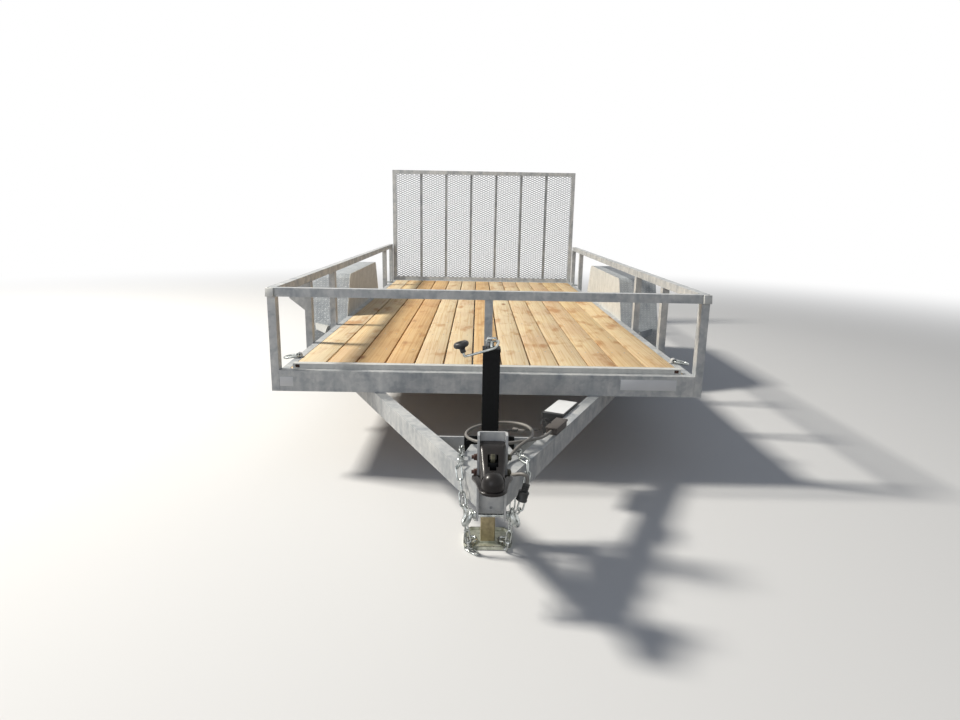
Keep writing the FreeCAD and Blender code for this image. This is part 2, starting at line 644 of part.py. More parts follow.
def coupler():
    """The upright channel on the tongue's tip, and the pressed coupler that two bolts hold in it."""
    body = pad("channel", "XY_Plane", [
        ["-channel_wide / 2", "0"],
        ["-channel_wide / 2", "-channel_deep"],
        ["channel_wall - channel_wide / 2", "-channel_deep"],
        ["channel_wall - channel_wide / 2", "-channel_wall"],
        ["channel_wide / 2 - channel_wall", "-channel_wall"],
        ["channel_wide / 2 - channel_wall", "-channel_deep"],
        ["channel_wide / 2", "-channel_deep"],
        ["channel_wide / 2", "0"],
    ], "channel_top - channel_bottom", ["0", "web_y", "channel_bottom"])
    wall = amount("channel_wall")
    rounded(body, "channel_inner_bends", "channel_bend - channel_wall",
            lambda edge: upright(edge) and abs(edge.Vertexes[0].Y + wall) < 0.01)
    rounded(body, "channel_outer_bends", "channel_bend",
            lambda edge: upright(edge) and abs(edge.Vertexes[0].Y) < 0.01)
    across = "channel_wide + 2"
    holes = [cylinder(f"channel_hole_{step}",
                      ["-channel_wide / 2 - 1", "bolt_y", f"bolt_low + {step} * bolt_pitch"],
                      "bolt_radius + pin_gap", across, (1, 0, 0)) for step in (-2, -1, 0, 1, 2)]
    holes.append(cylinder("chain_hole", ["-channel_wide / 2 - 1", "bolt_y", "bolt_low - 3 * bolt_pitch"],
                          "chain_bolt + pin_gap", across, (1, 0, 0)))
    holes.append(cylinder("web_hole", ["0", "web_y + 1", "channel_bottom + channel_deep * 0.75"],
                          "bolt_radius * 0.6", "channel_wall + 2", (0, -1, 0)))
    keep(cut("channel_bored", body, group("channel_holes", holes)), "coupler_channel")

    shell = pad("housing", "YZ_Plane", coupler_side("0"), "coupler_wide",
                ["-coupler_wide / 2", "web_y", "0"])
    hollow = pad("housing_hollow", "YZ_Plane", coupler_side("coupler_wall"),
                 "coupler_wide - 2 * coupler_wall",
                 ["coupler_wall - coupler_wide / 2", "web_y", "0"])
    centre = ["0", "front - tongue_reach + ball_behind", "coupler_low + ball_radius"]
    dome = sphere("dome", centre, "dome_radius")
    collar = cylinder("dome_collar", centre[:2] + ["coupler_low"], "dome_radius", "ball_radius",
                      (0, 0, 1))
    half = [
        ["skirt_half", "web_y - channel_deep - 1"],
        ["skirt_half", "web_y - 1.5 * channel_deep"],
        ["skirt_nose + coupler_wall", "web_y - 2.4 * channel_deep"],
        ["skirt_nose", "front - tongue_reach + skirt_nose"],
    ]
    other = [[f"-({across})", along] for across, along in reversed(half)]
    skirt = pad("skirt_plate", "XY_Plane", half + other, "skirt_thick", ["0", "0", "coupler_low"])
    nose = cylinder("skirt_tip", ["0", "front - tongue_reach + skirt_nose", "coupler_low"],
                    "skirt_nose", "skirt_thick", (0, 0, 1))
    whole = fuse("housing_whole", [cut("housing_shell", shell, hollow), dome, collar, skirt, nose])
    slot = box("skirt_slot",
               ["coupler_wall - coupler_wide / 2",
                "web_y - coupler_long + 2 * dome_radius + ball_behind / 2", "coupler_low - 1"],
               ["coupler_wide - 2 * coupler_wall",
                "coupler_long - 2 * dome_radius - ball_behind / 2 - channel_deep", "skirt_thick + 2"])
    socket = sphere("socket", centre, "ball_radius")
    mouth = cylinder("socket_mouth", centre[:2] + ["coupler_low - dome_radius"], "ball_radius",
                     "ball_radius + dome_radius", (0, 0, 1))
    bores = [cylinder(f"housing_bore_{step}",
                      ["-coupler_wide / 2 - 1", "bolt_y", f"bolt_low + {step} * bolt_pitch"],
                      "bolt_radius + pin_gap", "coupler_wide + 2", (1, 0, 0)) for step in (0, 1)]
    tools = fuse("housing_tools", [socket, mouth, slot] + bores)
    keep(cut("housing_bored", whole, tools), "coupler_housing")
    latch()
    coupler_bolts()


def sphere(name, centre, radius):
    thing = doc.addObject("Part::Sphere", name)
    bind(thing, "Radius", radius)
    place(thing, centre)
    return thing


def upright(edge):
    start, end = (vertex.Point for vertex in edge.Vertexes)
    return (end - start).cross(Vector(0, 0, 1)).Length < 0.01


def latch():
    """Two ears on the coupler's slope with the latch lever between them."""
    slope = "(coupler_high - coupler_brow) / (coupler_long - ball_behind - channel_deep)"
    near = "channel_deep + coupler_wall"
    far = "channel_deep + 8 * coupler_wall"
    rise = "3 * coupler_wall"

    def on_slope(station, above):
        return [f"-({station})", f"coupler_high - ({station} - channel_deep) * {slope} + {above}"]

    ears = [pad(f"latch_ear_{side}", "YZ_Plane", [
        on_slope(near, "0"),
        on_slope(near, rise),
        on_slope(far, f"0.6 * {rise}"),
        on_slope(far, "0"),
    ], "coupler_wall * 0.75", [f"{way} * 2.6 * coupler_wall - coupler_wall * 0.375", "web_y", "0"])
        for side, way in SIDES]
    lever = pad("latch_lever", "YZ_Plane", [
        on_slope(near, "0"),
        on_slope(near, f"1.15 * {rise}"),
        on_slope(f"{near} + 3 * coupler_wall", f"0.9 * {rise}"),
        on_slope(f"{near} + 3 * coupler_wall", "0"),
    ], "4.4 * coupler_wall", ["-2.2 * coupler_wall", "web_y", "0"])
    keep(fuse("latch", ears + [lever]), "coupler_latch")


def coupler_bolts():
    """Two bolts through the channel and the coupler, with a head and a nut each."""
    bolts = []
    for step in (0, 1):
        height = f"bolt_low + {step} * bolt_pitch"
        shank = cylinder(f"coupler_bolt_{step}", ["-channel_wide / 2", "bolt_y", height], "bolt_radius",
                         "channel_wide", (1, 0, 0))
        ends = [hexagon(f"bolt_end_{side}_{step}", f"{way} * (channel_wide / 2 + 0.4 * bolt_radius)"
                        " - 0.4 * bolt_radius", height, "0.8 * bolt_radius", "1.55 * bolt_radius")
                for side, way in SIDES]
        bolts.append(fuse(f"coupler_bolt_whole_{step}", [shank] + ends))
    out = "channel_wide / 2 + link_wire + 2 * side_gap"
    height = "bolt_low - 3 * bolt_pitch"
    shank = cylinder("chain_bolt_shank", [f"-({out})", "bolt_y", height], "chain_bolt", f"2 * ({out})",
                     (1, 0, 0))
    heads = [hexagon(f"chain_bolt_{side}", f"{way} * ({out} + 0.5 * chain_bolt) - 0.5 * chain_bolt",
                     height, "chain_bolt", "2.6 * chain_bolt") for side, way in SIDES]
    bolts.append(fuse("chain_bolt_whole", [shank] + heads))
    keep(group("coupler_bolts", bolts), "coupler_bolts")


def hexagon(name, across, height, thick, radius):
    """A bolt head or nut that faces along X."""
    corners = [[f"{radius} * cos({turn} deg)", f"{radius} * sin({turn} deg)"]
               for turn in range(0, 360, 60)]
    return pad(name, "YZ_Plane", corners, thick, [across, "bolt_y", height])


def jack():
    """The outer tube with its bracket, the crank on top, and the leg that slides in it."""
    half = "jack_tube_side / 2"
    outer = tube("jack_outer", [f"-({half})", f"jack_y - {half}", "jack_bottom"],
                 ["jack_tube_side", "jack_tube_side", "jack_top - jack_bottom"], "jack_wall", 2)
    cap = box("jack_lid", [f"-({half})", f"jack_y - {half}", "jack_top"],
              ["jack_tube_side", "jack_tube_side", "jack_cap"])
    plate = box("jack_mount", ["-jack_plate", "crossbar_y - jack_cap", "tongue_low"],
                ["2 * jack_plate", "jack_cap", "tongue_deep + jack_cap"])
    webs = [box(f"jack_web_{side}", [f"{way} * ({half} - jack_cap / 2) - jack_cap / 2",
                                     f"jack_y + {half}", "tongue_low"],
                ["jack_cap", f"jack_ahead - crossbar_ahead - {half}", "tongue_deep"])
            for side, way in SIDES]
    keep(fuse("jack_body", [outer, cap, plate] + webs), "jack_tube")
    boss = cylinder("crank_boss", ["0", "jack_y", "jack_top + jack_cap"], "hood_deep / 3",
                    "0.6 * hood_high", (0, 0, 1))
    hood = box("hood_outer", ["-hood_wide / 2", "jack_y - hood_deep / 2", "jack_top + jack_cap"],
               ["hood_wide", "hood_deep", "hood_high"])
    inside = box("hood_inside",
                 ["hood_wall - hood_wide / 2", "jack_y - hood_deep / 2 - 1", "jack_top + jack_cap - 1"],
                 ["hood_wide - 2 * hood_wall", "hood_deep + 2", "hood_high - hood_wall + 1"])
    keep(fuse("crank", [boss, cut("hood", hood, inside), crank_bar()]), "jack_crank")
    knob = spun_up("knob_body", [
        ["crank_wire + pin_gap", "0"],
        ["knob_radius * 0.35", "0"],
        ["knob_radius * 0.35", "knob_high * 0.55"],
        ["knob_radius", "knob_high * 0.75"],
        ["knob_radius", "knob_high * 1.15"],
        ["knob_radius * 0.7", "knob_high * 1.4"],
        ["0", "knob_high * 1.5"],
        ["0", "knob_high * 1.2"],
        ["crank_wire + pin_gap", "knob_high * 1.2"],
    ], crank_end("3 * crank_wire"))
    knob.Placement.Rotation = FreeCAD.Rotation(Vector(0, -1, 0), 1)
    bind(knob, "Placement.Rotation.Angle", "crank_lean")
    keep(knob, "jack_knob")
    leg = tube("leg", ["-leg_side / 2", "jack_y - leg_side / 2", "foot_thick"],
               ["leg_side", "leg_side", "leg_top - foot_thick"], "thin_steel", 2)
    side = "foot_long / 2"
    end = "foot_deep / 2"
    foot = pad("foot", "XY_Plane", [
        [f"{side} - foot_corner", f"-({end})"],
        [side, f"foot_corner - {end}"],
        [side, f"{end} - foot_corner"],
        [f"{side} - foot_corner", end],
        [f"foot_corner - {side}", end],
        [f"-({side})", f"{end} - foot_corner"],
        [f"-({side})", f"foot_corner - {end}"],
        [f"foot_corner - {side}", f"-({end})"],
    ], "foot_thick", ["0", "jack_y", "0"])
    keep(fuse("leg_and_foot", [leg, foot]), "jack_leg")


def crank_end(above):
    """The place on the crank's leaning end that is so far above its bend."""
    lean = "crank_lean * 1 deg"
    return [f"-crank_out - ({above}) * sin({lean})",
            "jack_y - jack_tube_side / 2 - 1.2 * crank_wire",
            f"jack_top + jack_cap - crank_drop + ({above}) * cos({lean})"]


def crank_bar():
    """A bent bar: out of the knob, along the arm before the tube, and up to the hood's side."""
    wire = amount("crank_wire")
    top = amount("jack_top + jack_cap")
    side = amount("hood_wide / 2")
    tip = Vector(*[amount(text) for text in crank_end("3 * crank_wire + 1.19 * knob_high")])
    bend = Vector(*[amount(text) for text in crank_end("0")])
    points = [
        tip,
        bend,
        Vector(side - 2 * wire, bend.y, top + wire),
        Vector(side + 0.6 * wire, bend.y + 2 * wire, top + 4 * wire),
        Vector(side + 0.6 * wire, amount("jack_y"), top + 5 * wire),
    ]
    path, radii = rounded_path(points, 2.5 * wire)
    ring = Part.Wire(Part.makeCircle(wire, points[0], points[1] - points[0]))
    thing = doc.addObject("Part::Feature", "crank_bar")
    thing.Shape = path.makePipeShell([ring], True, False)
    return thing


def spun_up(name, outline, corner):
    """A body of an outline in radius and height, turned about its own upright axis."""
    body = doc.addObject("PartDesign::Body", name)
    sketch = sketch_in(body, "XZ_Plane", outline, name + "_outline")
    feature = body.newObject("PartDesign::Revolution", name + "_turned")
    feature.Profile = sketch
    feature.ReferenceAxis = (sketch, ["V_Axis"])
    feature.Angle = 360
    place(body, corner)
    return body


def running_gear():
    """Axles on springs under them, the springs' hangers, and four wheels."""
    axles = []
    springs = []
    hangers = []
    rockers = []
    for name, sign in (("front", "-"), ("rear", "+")):
        station = f"axle_mid {sign} axle_spacing / 2"
        rod = cylinder(f"axle_{name}", ["-axle_half", station, "tyre_radius"], "axle_radius",
                       "2 * axle_half", (1, 0, 0))
        spindle = cylinder(f"spindle_{name}", ["-track_half - spindle_over", station, "tyre_radius"],
                           "spindle_radius", "2 * (track_half + spindle_over)", (1, 0, 0))
        axles.append(fuse(f"axle_whole_{name}", [rod, spindle]))
        for side, way in SIDES:
            springs.append(spring(f"{name}_{side}", station, way))
    keep(group("axles", axles), "axle_beams")
    keep(group("springs", springs), "leaf_springs")
    for side, way in SIDES:
        middle = f"{way} * spring_half"
        for name, sign in (("lead", "-"), ("trail", "+")):
            station = f"axle_mid {sign} (axle_spacing + spring_span) / 2"
            hangers.append(hanger(f"{name}_{side}", middle, station, "eye_height", "side_gap"))
        hangers.append(hanger(f"middle_{side}", middle, "axle_mid", "eye_height",
                              "thin_steel + 2 * side_gap"))
        rockers.extend(equaliser(side, middle))
    keep(group("hangers", hangers), "spring_hangers")
    keep(group("rockers", rockers), "spring_equalisers")


def hanger(name, middle, station, height, gap):
    """Two plates under a side member with a bolt between them."""
    inside = f"(spring_wide / 2 + {gap})"
    low = f"{height} - eye_bolt - eye_wall"
    start = f"{station} - hanger_long / 2"
    outer = box(f"hanger_outer_{name}", [f"{middle} - {inside} - steel", start, low],
                [f"2 * ({inside} + steel)", "hanger_long", f"frame_bottom - ({low})"])
    inner = box(f"hanger_inner_{name}", [f"{middle} - {inside}", f"{start} - 1", f"{low} - 1"],
                [f"2 * ({inside})", "hanger_long + 2", f"frame_bottom - ({low}) - steel + 1"])
    bolt = cylinder(f"hanger_bolt_{name}", [f"{middle} - {inside}", station, height], "eye_bolt",
                    f"2 * ({inside})", (1, 0, 0))
    return fuse(f"hanger_{name}", [cut(f"hanger_plates_{name}", outer, inner), bolt])


def equaliser(side, middle):
    """Two rocking plates that join the springs' inner eyes to the middle hanger."""
    reach = "(axle_spacing - spring_span) / 2"
    rows = [("outer", "spring_wide / 2 + side_gap"),
            ("inner", "-spring_wide / 2 - side_gap - thin_steel")]
    plates = []
    for name, shift in rows:
        corner = [f"{middle} + {shift}", f"axle_mid - ({reach} + rocker_high / 2)",
                  "eye_height - rocker_high / 2"]
        plate = box(f"rocker_{name}_{side}", corner,
                    ["thin_steel", f"2 * ({reach}) + rocker_high", "rocker_high"])
        bore = cylinder(f"rocker_bore_{name}_{side}",
                        [f"{middle} + {shift} - 1", "axle_mid", "eye_height"],
                        "eye_bolt + pin_gap", "thin_steel + 2", (1, 0, 0))
        plates.append(cut(f"rocker_bored_{name}_{side}", plate, bore))
    bolts = [cylinder(f"rocker_bolt_{sign}_{side}",
                      [f"{middle} - spring_wide / 2 - side_gap", f"axle_mid + {sign} * ({reach})",
                       "eye_height"],
                      "eye_bolt", "spring_wide + 2 * side_gap", (1, 0, 0)) for sign in (-1, 1)]
    return [fuse(f"rocker_{side}", plates + bolts)]


def spring(name, station, way):
    """A pack of curved leaves under an axle, the longest on top with an eye at each end."""
    across = f"{way} * spring_half - spring_wide / 2"
    leaves = []
    for number in range(int(amount("leaf_count"))):
        radius = f"spring_radius + leaf_thick * {number}"
        length = f"spring_span * (1 - 0.27 * {number})"
        centre_z = "spring_low + spring_radius"
        outer = cylinder(f"leaf_out_{name}_{number}", [across, station, centre_z],
                         f"{radius} + leaf_thick", "spring_wide", (1, 0, 0))
        inner = cylinder(f"leaf_in_{name}_{number}", [f"{across} - 1", station, centre_z],
                         radius, "spring_wide + 2", (1, 0, 0))
        ring = cut(f"leaf_ring_{name}_{number}", outer, inner)
        window = box(f"leaf_window_{name}_{number}", [across, f"{station} - {length} / 2", "0"],
                     ["spring_wide", length, "frame_bottom"])
        leaves.append(common(f"leaf_{name}_{number}", ring, window))
    for end in (-1, 1):
        eye = [across, f"{station} + {end} * spring_span / 2", "eye_height"]
        leaves.append(cylinder(f"eye_{name}_{end}", eye, "eye_bolt + eye_wall", "spring_wide", (1, 0, 0)))
    whole = fuse(f"spring_whole_{name}", leaves)
    bores = []
    for end in (-1, 1):
        eye = [f"{across} - 1", f"{station} + {end} * spring_span / 2", "eye_height"]
        bores.append(cylinder(f"eye_bore_{name}_{end}", eye, "eye_bolt + pin_gap", "spring_wide + 2",
                              (1, 0, 0)))
    return cut(f"spring_{name}", whole, group(f"eye_bores_{name}", bores))


def wheels():
    """Four wheels, each a tyre on a dished rim; the outboard side is away from the centreline."""
    half = "tyre_width / 2"
    tread = "tyre_width / 2 - shoulder"
    bead = "rim_width / 2"
    tyre_outline = [
        [f"-({bead})", "rim_radius"],
        [bead, "rim_radius"],
        [half, "(tyre_radius + rim_radius) / 2"],
        [tread, "tyre_radius"],
        [f"-({tread})", "tyre_radius"],
        [f"-({half})", "(tyre_radius + rim_radius) / 2"],
    ]
    rim_outline = [
        [f"-({bead})", "rim_radius"],
        ["disc_out", "rim_radius - bed_drop"],
        ["disc_out", "spindle_radius + pin_gap"],
        ["spindle_over + 2", "spindle_radius + pin_gap"],
        ["spindle_over + 2", "0"],
        ["hub_out", "0"],
        ["hub_out", "spindle_radius + hub_wall"],
        ["disc_out + disc_thick", "spindle_radius + 2 * hub_wall"],
        ["disc_out + disc_thick", "rim_radius - bed_drop"],
        [bead, "rim_radius"],
    ]
    for row, sign in (("front", "-"), ("rear", "+")):
        for side, way in SIDES:
            station = [f"{way} * track_half", f"axle_mid {sign} axle_spacing / 2", "tyre_radius"]
            tyre = spun(f"tyre_{row}_{side}_body", tyre_outline, station)
            keep(tyre, f"tyre_{row}_{side}")
            outline = [[f"{way} * ({across})", radius] for across, radius in rim_outline]
            rim = spun(f"rim_{row}_{side}_body", outline, station)
            keep(rim, f"rim_{row}_{side}")


def gate():
    """A tube frame with upright bars, two layers of slanting strands and its hinge lugs."""
    height = "gate_top - gate_bottom"
    whole = box("gate_whole", ["-gate_half", "gate_y", "gate_bottom"],
                ["2 * gate_half", "gate_tube", height])
    window = box("gate_window", ["gate_tube - gate_half", "gate_y - 1", "gate_bottom + gate_tube"],
                 ["2 * (gate_half - gate_tube)", "gate_tube + 2", f"{height} - 2 * gate_tube"])
    pieces = [cut("gate_ring", whole, window)]
    for side, way in SIDES:
        at = f"{way} * hinge_half"
        start = f"{at} - hinge_ear - lug_long"
        pieces.append(box(f"gate_lug_{side}", [start, "gate_mid - hinge_pin", "hinge_height"],
                          ["lug_long", "hinge_back - gate_gap - gate_tube / 2 + hinge_pin",
                           "gate_bottom - hinge_height"]))
        pieces.append(cylinder(f"gate_boss_{side}", [start, "hinge_y", "hinge_height"],
                               "hinge_lug", "lug_long", (1, 0, 0)))
    solid = fuse("gate_solid", pieces)
    bores = [cylinder(f"gate_bore_{side}",
                      [f"{way} * hinge_half - hinge_ear - lug_long - 1", "hinge_y", "hinge_height"],
                      "hinge_pin + pin_gap", "lug_long + 2", (1, 0, 0)) for side, way in SIDES]
    keep(cut("gate_bored", solid, group("gate_bores", bores)), "gate_frame")
    bars = []
    bay = "2 * (gate_half - gate_tube) / gate_bays"
    for number in range(1, int(amount("gate_bays"))):
        bars.append(box(f"gate_bar_{number}",
                        [f"gate_tube - gate_half + {bay} * {number} - gate_bar / 2", "gate_mid",
                         "gate_bottom + gate_tube"],
                        ["gate_bar", "gate_tube / 2", f"{height} - 2 * gate_tube"]))
    keep(group("gate_bars_all", bars), "gate_bars")
    mesh_layer("gate_mesh_rising", 1, 0)
    mesh_layer("gate_mesh_falling", -1, 1)


def mesh_layer(node, way, layer):
    """Parallel strands across the gate's window, clipped to it by their own end points."""
    half = amount("gate_half - gate_tube")
    low = amount("gate_bottom + gate_tube")
    high = amount("gate_top - gate_tube")
    wide = amount("mesh_wide")
    tall = amount("mesh_high")
    slope = tall / wide
    thick = amount("strand_thick")
    across = amount("strand_wide") / math.cos(math.atan(slope))
    depth = amount("gate_mid") - thick * (layer + 1)
    strands = []
    count = int((high - low + 2 * half * slope) / tall)
    for number in range(1, count + 1):
        start = low - half * slope * 2 + number * tall
        ends = [(-half, start), (half, start + 2 * half * slope)]
        clipped = clip(ends, low + across, high - across, slope)
        if clipped is None:
            continue
        (x1, z1), (x2, z2) = clipped
        corners = [(x1, z1 - across / 2), (x2, z2 - across / 2), (x2, z2 + across / 2), (x1, z1 + across / 2)]
        loop = [Vector(way * x, depth, z) for x, z in corners]
        face = Part.Face(Part.makePolygon(loop + loop[:1]))
        strands.append(face.extrude(Vector(0, thick, 0)))
    plain(node, Part.makeCompound(strands))


def clip(ends, low, high, slope):
    """The part of a rising strand between two heights."""
    (x1, z1), (x2, z2) = ends
    if z1 < low:
        x1, z1 = x1 + (low - z1) / slope, low
    if z2 > high:
        x2, z2 = x2 - (z2 - high) / slope, high
    return ((x1, z1), (x2, z2)) if x2 - x1 > 20 else None


def gate_hinges():
    """Ears on the rear crossmember, each with a pin through the gate's lug."""
    pieces = []
    for side, way in SIDES:
        at = f"{way} * hinge_half"
        ear = box(f"ear_{side}", [f"{at} - hinge_ear / 2", "rear", "hinge_height - hinge_lug"],
                  ["hinge_ear", "hinge_back + hinge_lug", "2 * hinge_lug"])
        reach = "lug_long + 1.4 * hinge_ear"
        pin = cylinder(f"pin_{side}", [f"{at} - ({reach})", "hinge_y", "hinge_height"], "hinge_pin",
                       reach, (1, 0, 0))
        pieces.append(fuse(f"hinge_{side}", [ear, pin]))
    keep(group("hinges", pieces), "gate_hinges")


def boxes_on_tongue():
    """The breakaway battery box on the right beam's inner side and the small cable box on its top."""
    slope = "tan(tongue_angle * 1 deg)"
    side = (f"tongue_inner - lid_lip / cos(tongue_angle * 1 deg) - battery_ahead * {slope}"
            " - battery_wide * cos(tongue_angle * 1 deg)")
    station = "front - battery_ahead + battery_wide * sin(tongue_angle * 1 deg)"
    keep(lidded("battery", side, station, "battery_low", "battery"), "battery_box")
    side = f"tongue_inner - junction_ahead * {slope} + 2 * lid_lip"
    keep(lidded("junction", side, "front - junction_ahead", "tongue_top", "junction"), "junction_box")


def lidded(name, side, station, low, size):
    """A box along the right beam with a lid that overhangs it."""
    extent = [f"{size}_wide", f"{size}_long", f"{size}_high"]
    base = box(f"{name}_base", [side, station, low], extent, "-tongue_angle")
    turn = "tongue_angle * 1 deg"
    lid_side = f"{side} - lid_lip * (cos({turn}) + sin({turn}))"
    lid_station = f"{station} + lid_lip * (sin({turn}) - cos({turn}))"
    lid = box(f"{name}_lid", [lid_side, lid_station, f"{low} + 0.7 * {size}_high"],
              [f"{size}_wide + 2 * lid_lip", f"{size}_long + 2 * lid_lip", f"0.3 * {size}_high"],
              "-tongue_angle")
    return fuse(f"{name}_whole", [base, lid])


def ring_path(radius, leg, bend):
    """A D-shaped loop in the XY plane with its straight bar along Y at X = 0."""
    mid = bend * (1 - math.sqrt(0.5))
    edges = [
        Part.LineSegment(Vector(0, bend - radius, 0), Vector(0, radius - bend, 0)),
        Part.Arc(Vector(0, radius - bend, 0), Vector(mid, radius - mid, 0), Vector(bend, radius, 0)),
        Part.LineSegment(Vector(bend, radius, 0), Vector(leg, radius, 0)),
        Part.Arc(Vector(leg, radius, 0), Vector(leg + radius, 0, 0), Vector(leg, -radius, 0)),
        Part.LineSegment(Vector(leg, -radius, 0), Vector(bend, -radius, 0)),
        Part.Arc(Vector(bend, -radius, 0), Vector(mid, mid - radius, 0), Vector(0, bend - radius, 0)),
    ]
    return Part.Wire([edge.toShape() for edge in edges])


def tie_rings():
    """Four D-shaped rings held by clips on the side members' top flanges."""
    wire = amount("ring_wire")
    radius = amount("ring_wide") / 2 - wire
    path = ring_path(radius, amount("ring_long") - 2 * wire - radius, 1.5 * wire)
    corners = [Vector(wire * math.cos(math.radians(turn)), 0, wire * math.sin(math.radians(turn)))
               for turn in range(0, 405, 45)]
    section = Part.makePolygon(corners)
    rings = []
    clips = []
    for side, way in SIDES:
        for name, station in (("lead", "front + ring_behind"), ("trail", "rear - ring_behind")):
            ring = path.makePipeShell([section], True, True)
            lean = FreeCAD.Rotation(Vector(0, 1, 0), amount("ring_droop"))
            ring.Placement = FreeCAD.Placement(
                Vector(way * amount("ring_axis"), amount(station),
                       amount("frame_top + ring_wire + clip_wall")),
                FreeCAD.Rotation(Vector(0, 0, 1), 90 - 90 * way) * lean)
            rings.append(ring)
            clips.append(ring_clip(f"{side}_{name}", way, station))
    plain("tie_rings", Part.makeCompound(rings))
    keep(group("clips", clips), "tie_clips")


def ring_clip(name, way, station):
    """A block bored along the trailer for a ring's straight bar."""
    half = "ring_wire + clip_wall"
    block = box(f"clip_block_{name}",
                [f"{way} * ring_axis - ({half})", f"{station} - clip_long / 2", "frame_top"],
                [f"2 * ({half})", "clip_long", f"2 * ({half})"])
    bore = cylinder(f"clip_bore_{name}",
                    [f"{way} * ring_axis", f"{station} - clip_long / 2 - 1", f"frame_top + {half}"],
                    "ring_wire + side_gap", "clip_long + 2", (0, 1, 0))
    return cut(f"clip_{name}", block, bore)


def tail_lamps():
    lamps = []
    for side, way in SIDES:
        lamps.append(box(f"lamp_{side}",
                         [f"{way} * (frame_half - lamp_in) - lamp_long / 2", "rear",
                          "frame_bottom + (frame_depth - lamp_high) / 2"],
                         ["lamp_long", "lamp_thick", "lamp_high"]))
    keep(group("lamps", lamps), "tail_lamps")


# Points of the chains' middle lines: out from the centreline, ahead of the channel's web, above the ground.
CHAIN_DROPS = {
    "right": [
        (51.8, 37.9, 319.4),
        (51.8, -4, 284),
        (74, -32, 276),
        (104, -65, 292),
        (117, -100, 335),
        (124, -118, 378),
        (133, -145, 427),
        (108, -178, 427),
    ],
    "left": [
        (51.8, 37.9, 319.4),
        (51.8, -4, 284),
        (68, -32, 276),
        (89, -50, 292),
        (96, -65, 335),
        (103, -85, 378),
        (112, -108, 431),
        (104, -145, 430),
    ],
}
CHAIN_END = [
    (103, -275, 427),
    (103, -298, 418),
    (100, -305, 380),
    (92, -295, 250),
    (84, -278, 120),
    (77, -267, 62),
    (73, -273, 40),
    (70, -286, 13.4),
    (64, -332, 13.9),
]


def path_length(points):
    return sum((end - start).Length for start, end in zip(points, points[1:]))


def along(points, distance):
    """The point at a distance along straight runs, and the direction there."""
    for start, end in zip(points, points[1:]):
        run = end - start
        if distance <= run.Length:
            return start + run * (distance / run.Length), run.normalize()
        distance -= run.Length
    return points[-1], (points[-1] - points[-2]).normalize()


def link_half(wire, pitch):
    """Half the length of a link; its ends reach past the next link's bar."""
    return pitch / 2 + wire * 1.15


def chain_link(wire, pitch):
    """A six-cornered link in the XY plane, long in X, of square bar."""
    half_wide = wire * 1.9
    loops = []
    for shrink in (0, wire):
        tip = link_half(wire, pitch) - shrink
        side = half_wide - shrink
        shoulder = tip - half_wide * 0.8
        corners = [(tip, 0), (shoulder, side), (-shoulder, side),
                   (-tip, 0), (-shoulder, -side), (shoulder, -side)]
        points = [Vector(x, y, -wire / 2) for x, y in corners]
        loops.append(Part.makePolygon(points + points[:1]))
    return Part.makeFace(loops, "Part::FaceMakerBullseye").extrude(Vector(0, 0, wire))


def chain_hook(wire, pitch):
    """A flat slip hook, C-shaped, that grows out of a link."""
    eye = chain_link(wire, pitch)
    outer = wire * 3.2
    inner = wire * 1.8
    middle = link_half(wire, pitch) + outer - wire * 0.4
    thick = wire * 1.4

    bend = math.radians(280)

    def at(radius, share):
        angle = math.pi + bend * share
        return Vector(middle + radius * math.cos(angle), radius * math.sin(angle), -thick / 2)

    edges = [
        Part.Arc(at(outer, 0), at(outer, 0.5), at(outer, 1)),
        Part.LineSegment(at(outer, 1), at(inner, 1)),
        Part.Arc(at(inner, 1), at(inner, 0.5), at(inner, 0)),
        Part.LineSegment(at(inner, 0), at(outer, 0)),
    ]
    bow = Part.Face(Part.Wire([edge.toShape() for edge in edges])).extrude(Vector(0, 0, thick))
    return eye.fuse(bow)


def linked(way, normal, centre):
    """The placement of a link that is long one way and flat across another."""
    across = normal.cross(way)
    return FreeCAD.Placement(FreeCAD.Matrix(
        way.x, across.x, normal.x, centre.x,
        way.y, across.y, normal.y, centre.y,
        way.z, across.z, normal.z, centre.z,
        0, 0, 0, 1))


def from_web(points):
    """Points that are given ahead of the coupler channel's web, as vectors."""
    web = amount("web_y")
    return [Vector(across, web - ahead, height) for across, ahead, height in points]


def safety_chains():
    """Chains from the channel's lowest bolt over the beams to hooks on the jack's foot, odd in number
    of links, so that the first and the last one lie the same way."""
    wire = amount("link_wire")
    pitch = amount("link_pitch")
    for side, way in SIDES:
        route = from_web(CHAIN_DROPS[side] + CHAIN_END)
        length = path_length(route)
        count = 2 * int((length / pitch - 1) / 2) + 1
        step = length / count - 0.001
        links = []
        for number in range(count):
            begin, run = along(route, number * step)
            end, run = along(route, (number + 1) * step)
            run = (end - begin).normalize()
            share = number / (count - 1)
            flat = Vector(1 - share, 0, share)
            flat = (flat - run * flat.dot(run)).normalize()
            normal = flat if number % 2 == 0 else run.cross(flat)
            link = chain_hook(wire, pitch) if number == count - 1 else chain_link(wire, pitch)
            link.Placement = linked(run, normal, (begin + end) / 2)
            links.append(link)
        chain = Part.makeCompound(links)
        if way < 0:
            chain = chain.mirror(Vector(0, 0, 0), Vector(1, 0, 0))
        plain("safety_chain_" + side, chain)
        print("chain", side, "links", count, "spacing", round(step, 1))


